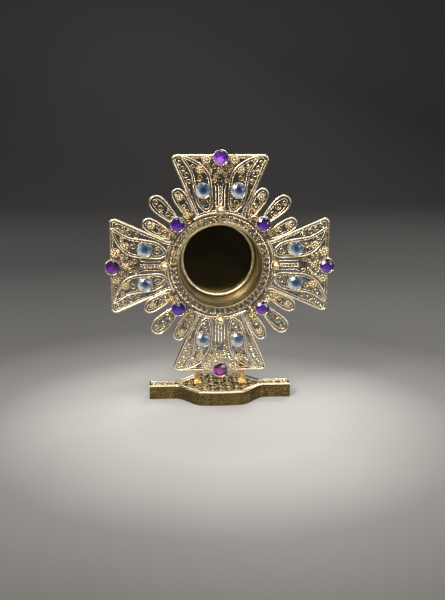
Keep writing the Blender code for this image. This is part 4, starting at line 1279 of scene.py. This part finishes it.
FOOT_HIGH = box_mm("foot_skirt")[1]
FOOT_HALF_LENGTH = FOOT_HIGH[0]
FOOT_END_HALF_DEPTH = 3.1
FOOT_CROWN = 0.5
FOOT_BULGE_HALF_DEPTH = FOOT_HIGH[1] - FOOT_CROWN
FOOT_BULGE_HALF_LENGTH = 7.0
FOOT_STRAIGHT_FROM = 16.5
SKIRT_TOP = FOOT_HIGH[2]
SKIRT_WALL = 0.6
STAMP_CELL = 0.72
STAMP_DEPTH = 0.2
STAMP_ROWS = 36
STAMP_JITTER = 0.16  # how far a grain stands off its true place, in cells
STAMP_PLAIN = 0.42  # the plain band along each edge of the skirt
SWIRL_PITCH = 5.4  # of the wavy line worked through the grains
TOP_Z = middle("foot_top_panel")[2]
RIM_Z = middle("foot_rim_wire")[2]
RIM_WIRE = half_size("foot_rim_wire")[2]
FOOT_CURL_PITCH = 2.9
FLOOR_INSET = 1.0
FLOOR_BEVEL = 0.15
BORDERS = ((1.15, 0.36), (2.15, 0.3))  # each border's distance from the edge, and its width
BORDER_GRAINS = 1.65
BORDER_GRAIN_PITCH = 0.72
BRACKET_THICKNESS = 0.7
BRACKET_BEND = 0.8
SOLDER_LOBES = ((-0.75, 0.35, 0.62), (0.75, 0.35, 0.62), (0.0, 0.5, 0.8))  # across, up and size


def foot_half(x):
    """Half the depth of the foot: straight ends, an ogee, and a gently crowned bulge."""
    reach = np.abs(x)
    t = np.clip((FOOT_STRAIGHT_FROM - reach) / (FOOT_STRAIGHT_FROM - FOOT_BULGE_HALF_LENGTH), 0, 1)
    ogee = (FOOT_BULGE_HALF_DEPTH - FOOT_END_HALF_DEPTH) * t * t * (3 - 2 * t)
    crown = FOOT_CROWN * np.clip(1 - (reach / FOOT_BULGE_HALF_LENGTH) ** 2, 0, 1)
    return FOOT_END_HALF_DEPTH + ogee + crown


def foot_plan(steps=160):
    """The foot's outline, anticlockwise: its front from left to right, then its back."""
    x = np.linspace(-FOOT_HALF_LENGTH, FOOT_HALF_LENGTH, steps)
    front = np.column_stack([x, -foot_half(x)])
    return np.vstack([front, front[::-1] * (1.0, -1.0)])


def stamped(along, up, jitter):
    """The height of the skirt's pattern, 0 to 1: close-set grains, and a wavy line worked through them."""
    across, rise = along / STAMP_CELL, np.full_like(along, up / (STAMP_CELL * 0.87))
    nearest = np.full_like(along, 9.0)
    for row_step in (-1, 0, 1):
        row = np.floor(rise) + row_step
        stagger = 0.5 * (row % 2)
        for column_step in (-1, 0, 1):
            column = np.floor(across - stagger) + column_step
            nudge = jitter[column.astype(int) % len(jitter), row.astype(int) % len(jitter)]
            dx = across - (column + 0.5 + stagger + nudge[:, 0])
            dy = (rise - (row + 0.5 + nudge[:, 1])) * 0.87
            nearest = np.minimum(nearest, np.hypot(dx, dy))
    grains = np.sqrt(np.clip(1 - (nearest / 0.5) ** 2, 0, 1))
    swirl = np.sin(TURN * along / SWIRL_PITCH + 1.6 * np.sin(TURN * up / SKIRT_TOP))
    ridge = np.exp(-((up - SKIRT_TOP / 2 - 1.1 * swirl) ** 2) / 0.12)
    return np.clip(grains * (0.8 + 0.2 * ridge) + 0.08 * ridge, 0, 1)


def loft(shape, rows, reliefs):
    """Closed rows joined one to the next, and the last to the first."""
    shape.add(np.concatenate(rows), grid_quads(len(rows), len(rows[0])), [], np.concatenate(reliefs), 0.4)


def make_skirt():
    plan = softened(even(foot_plan(), 0.16, True), 2, True)
    along = np.cumsum(np.linalg.norm(np.diff(plan, axis=0, prepend=plan[-1:]), axis=1))
    jitter = RANDOM.uniform(-STAMP_JITTER, STAMP_JITTER, (64, 64, 2))
    rows, reliefs = [], []
    for up in np.linspace(0, SKIRT_TOP, STAMP_ROWS):
        # The stamped height sinks the skirt and also sets its painted light: painted shade between the
        # grains.
        relief = stamped(along, up, jitter)
        edge = min(up, SKIRT_TOP - up)
        if edge < STAMP_PLAIN:
            relief = np.full(len(plan), math.sqrt(1 - (1 - edge / STAMP_PLAIN * 2) ** 2) * 0.75)
        sunk = 0.02 + STAMP_DEPTH * (1 - relief[:, None])
        rows.append(raised(beside(plan, sunk, True), up))
        reliefs.append(relief)
    for up in (SKIRT_TOP, 0.0):
        rows.append(raised(beside(plan, SKIRT_WALL, True), up))
        reliefs.append(np.full(len(plan), 0.4))
    skirt = Shape()
    loft(skirt, rows, reliefs)
    piece("foot_skirt_stamped", skirt, SKIRT_GILT, UPRIGHT, ["foot_skirt"])


def make_foot_floor():
    steps = 90
    plan = foot_plan(steps)
    count = len(plan)
    floor_top = box_mm("foot_floor")[1][2]
    levels = ((FLOOR_BEVEL, 0.0), (0, FLOOR_BEVEL), (0, floor_top - FLOOR_BEVEL), (FLOOR_BEVEL, floor_top))
    rows = [raised(beside(plan, FLOOR_INSET + pull, True), up) for pull, up in levels]
    quads = grid_quads(len(rows), count, False).tolist()
    top = 3 * count
    for j in range(steps - 1):
        a, b, c, d = j, j + 1, count - 2 - j, count - 1 - j
        quads += [(a, d, c, b), (top + a, top + b, top + c, top + d)]
    floor = Shape()
    floor.add(np.concatenate(rows), quads, [], 0.5, 0.4)
    piece("foot_floor_plate", floor, FLOOR_GILT, UPRIGHT, ["foot_floor"])


def make_foot_top():
    rim, borders, scrolls, granules = shapes(4)
    plan = even(foot_plan(), 0.3, True)
    rim_path = softened(beside(plan, SKIRT_WALL / 2, True), 1, True)
    sweep(rim, rim_path, round_section(RIM_WIRE, 12), True, RIM_Z, 0.1)
    for distance, width in BORDERS:
        path = softened(beside(plan, distance, True), 2, True)
        plain_wire(borders, path, strip(width, 0.66), True, TOP_Z, tint=0.2)
    for x, y in even(softened(beside(plan, BORDER_GRAINS, True), 2, True), BORDER_GRAIN_PITCH, True):
        granule(granules, x, y, TOP_Z + 0.1, 0.31)
    for column, x in enumerate(np.arange(-8, 9) * FOOT_CURL_PITCH):
        half = float(foot_half(x)) - 2.5
        count = max(int(2 * half / FOOT_CURL_PITCH + 0.3), 1)
        radius = min(1.3, half / count * 0.95)
        for k in range(count):
            y = (k - (count - 1) / 2) * (2 * half / count)
            hand = 1 if (k + column) % 2 else -1
            start = 90 * hand + RANDOM.normal(0, 12)
            path = curl(x + RANDOM.normal(0, 0.06), y, radius, start, hand, 1.7, 1.3)
            forward = TOP_Z + RANDOM.uniform(-0.05, 0.06)
            milled_wire(scrolls, path, flattened(0.3, 0.6), 0.45, 0.3, forward=forward)
            granule(granules, x, y, TOP_Z + 0.15, 0.3)
        bar_x = x + FOOT_CURL_PITCH / 2
        if abs(bar_x) < FOOT_HALF_LENGTH - 2.4:
            reach = float(foot_half(bar_x)) - 2.2
            bar = np.array([(bar_x, -reach), (bar_x, 0.0), (bar_x, reach)])
            milled_wire(borders, bar, strip(0.24, 0.5), 0.5, 0.2, forward=TOP_Z - 0.05, tint=0.6)
    piece("foot_rim_round_wire", rim, RIM_GILT, UPRIGHT, ["foot_rim_wire"])
    piece("foot_top_borders", borders, FOOT_WIRE, UPRIGHT, ["foot_top_panel"])
    piece("foot_top_scrolls", scrolls, FOOT_WIRE, UPRIGHT)
    piece("foot_top_granules", granules, GRANULE_GILT, UPRIGHT)


def make_bracket(side):
    node = f"bracket_{side}"
    low, high = box_mm(node)
    half = half_size(node)[0]
    sideways = Matrix(((0, 0, MM, middle(node)[0] * MM), (MM, 0, 0, 0), (0, MM, 0, 0), (0, 0, 0, 1)))
    near, far = low[1], high[1] - BRACKET_THICKNESS / 2
    floor, top = low[2] + BRACKET_THICKNESS / 2, high[2]
    bend = round_arc(BRACKET_BEND, -90, 0, far - BRACKET_BEND, floor + BRACKET_BEND, 8)
    path = np.vstack([[(near + 0.05, floor)], bend, [(far, top - 0.05)]])
    strap, solder = shapes(2)
    plain_wire(strap, path, strip(BRACKET_THICKNESS, 2 * half), step=0.3, tint=0.3)
    for edge in (-1, 1):
        plain_wire(strap, path, round_section(0.2, 8), forward=edge * (half - 0.2), tint=0.2)
    for across, up, size in SOLDER_LOBES:
        ball(solder, far - 1.05, floor + up, across, size, 12, 24, 0.8, 0.9, 1.1)
    peg = rounded([(0.55, half), (0.55, -half), (0.0, -half)], 0.15, False)
    turned(solder, [*peg, (0.0, half)], 24, near + 0.6, floor + 0.25, relief=0.7, tint=0.8)
    piece(f"{node}_strap", strap, RIM_GILT, sideways, [node])
    piece(f"{node}_solder", solder, COPPER, sideways)


# The object, piece by piece

for side_name, side_angle in SIDES.items():
    make_arm(side_name, side_angle)
for corner_name, corner_angle in CORNERS.items():
    make_spray(corner_name, corner_angle)
make_halo()
make_stones()
make_drum()
make_theca()
make_lid()
make_skirt()
make_foot_floor()
make_foot_top()
make_bracket("left")
make_bracket("right")


# The setting: a pale floor with a painted pool of light, rising into a backdrop in painted shade; soft
# lights; and the camera

STAGE_HALF_WIDTH = 2.5
STAGE_NEAR = -1.6
STAGE_BEND = 0.65
STAGE_CURVE = 0.26
STAGE_TOP = 1.6


def make_stage():
    bend = round_arc(STAGE_CURVE, -90, 0, STAGE_BEND, STAGE_CURVE, 24)
    profile = even(np.vstack([[(STAGE_NEAR, 0.0)], bend, [(STAGE_BEND + STAGE_CURVE, STAGE_TOP)]]), 0.02)
    count = len(profile)
    points = [(x, y, z) for x in (-STAGE_HALF_WIDTH, STAGE_HALF_WIDTH) for y, z in profile]
    quads = [(k, count + k, count + k + 1, k + 1) for k in range(count - 1)]
    floor = Shape()
    floor.add(points, quads, [], 0.5, 0.5)
    mesh = floor.mesh("stage_floor", Matrix.Identity(4))
    mesh.shade_smooth()
    mesh.materials.append(pale_floor_painted_pool())
    obj = bpy.data.objects.new("stage_floor", mesh)
    bpy.context.scene.collection.objects.link(obj)


LIGHTS_AIM = Vector((0.0, 0.0, 0.045))
LIGHTS = [  # name, place, size, power and colour
    ("key", (-0.38, -0.48, 0.58), (0.30, 0.30), 5.6, (1.0, 0.97, 0.93)),
    ("front", (0.12, -0.72, 0.34), (0.5, 0.3), 1.6, (1.0, 0.98, 0.95)),
    ("top", (0.05, -0.10, 0.75), (0.5, 0.18), 2.4, (1.0, 0.99, 0.97)),
    ("fill", (0.65, -0.45, 0.28), (0.3, 0.5), 1.6, (0.95, 0.97, 1.0)),
    ("rim", (0.30, 0.55, 0.50), (0.4, 0.25), 2.5, (1.0, 0.98, 0.95)),
    ("rim_left", (-0.5, 0.45, 0.35), (0.3, 0.3), 2.0, (0.97, 0.98, 1.0)),
]
GROUND_GLOW = (0.04, 0.036, 0.032, 1.0)
SKY_GLOW = (0.62, 0.63, 0.65, 1.0)
WORLD_STRENGTH = 0.3


def area_light(name, place, size, power, colour):
    lamp = bpy.data.lights.new(name, "AREA")
    lamp.shape = "RECTANGLE"
    lamp.size, lamp.size_y = size
    lamp.energy = power
    lamp.color = colour
    obj = bpy.data.objects.new(name, lamp)
    obj.location = place
    obj.rotation_euler = (LIGHTS_AIM - Vector(place)).to_track_quat("-Z", "Y").to_euler()
    bpy.context.scene.collection.objects.link(obj)


def make_lights():
    for light in LIGHTS:
        area_light(*light)
    world = bpy.data.worlds.new("studio")
    world.use_nodes = True
    bpy.context.scene.world = world
    tree = world.node_tree
    where = tree.nodes.new("ShaderNodeTexCoord")
    split = tree.nodes.new("ShaderNodeSeparateXYZ")
    sky = tree.nodes.new("ShaderNodeValToRGB")
    sky.color_ramp.elements[0].color = GROUND_GLOW
    sky.color_ramp.elements[1].color = SKY_GLOW
    background = tree.nodes["Background"]
    background.inputs["Strength"].default_value = WORLD_STRENGTH
    tree.links.new(where.outputs["Generated"], split.inputs[0])
    tree.links.new(split.outputs["Z"], sky.inputs["Fac"])
    tree.links.new(sky.outputs["Color"], background.inputs["Color"])


CAMERA_PLACE = Vector((-0.0188, -0.2856, 0.1002))
CAMERA_PITCH = 12.55
CAMERA_YAW = 3.96
CAMERA_ROLL = 0.16
CAMERA_LENS = 48.28


def make_camera():
    camera = bpy.data.cameras.new("camera")
    camera.lens = CAMERA_LENS
    camera.sensor_width = 36.0
    camera.clip_start = 0.01
    obj = bpy.data.objects.new("camera", camera)
    obj.location = CAMERA_PLACE
    turn = Matrix.Rotation(math.radians(-CAMERA_YAW), 3, "Z")
    tilt = Matrix.Rotation(math.radians(90 - CAMERA_PITCH), 3, "X")
    roll = Matrix.Rotation(math.radians(CAMERA_ROLL), 3, "Z")
    obj.rotation_euler = (turn @ tilt @ roll).to_euler()
    bpy.context.scene.collection.objects.link(obj)
    bpy.context.scene.camera = obj


make_stage()
make_lights()
make_camera()
bpy.context.scene.view_settings.view_transform = "Standard"
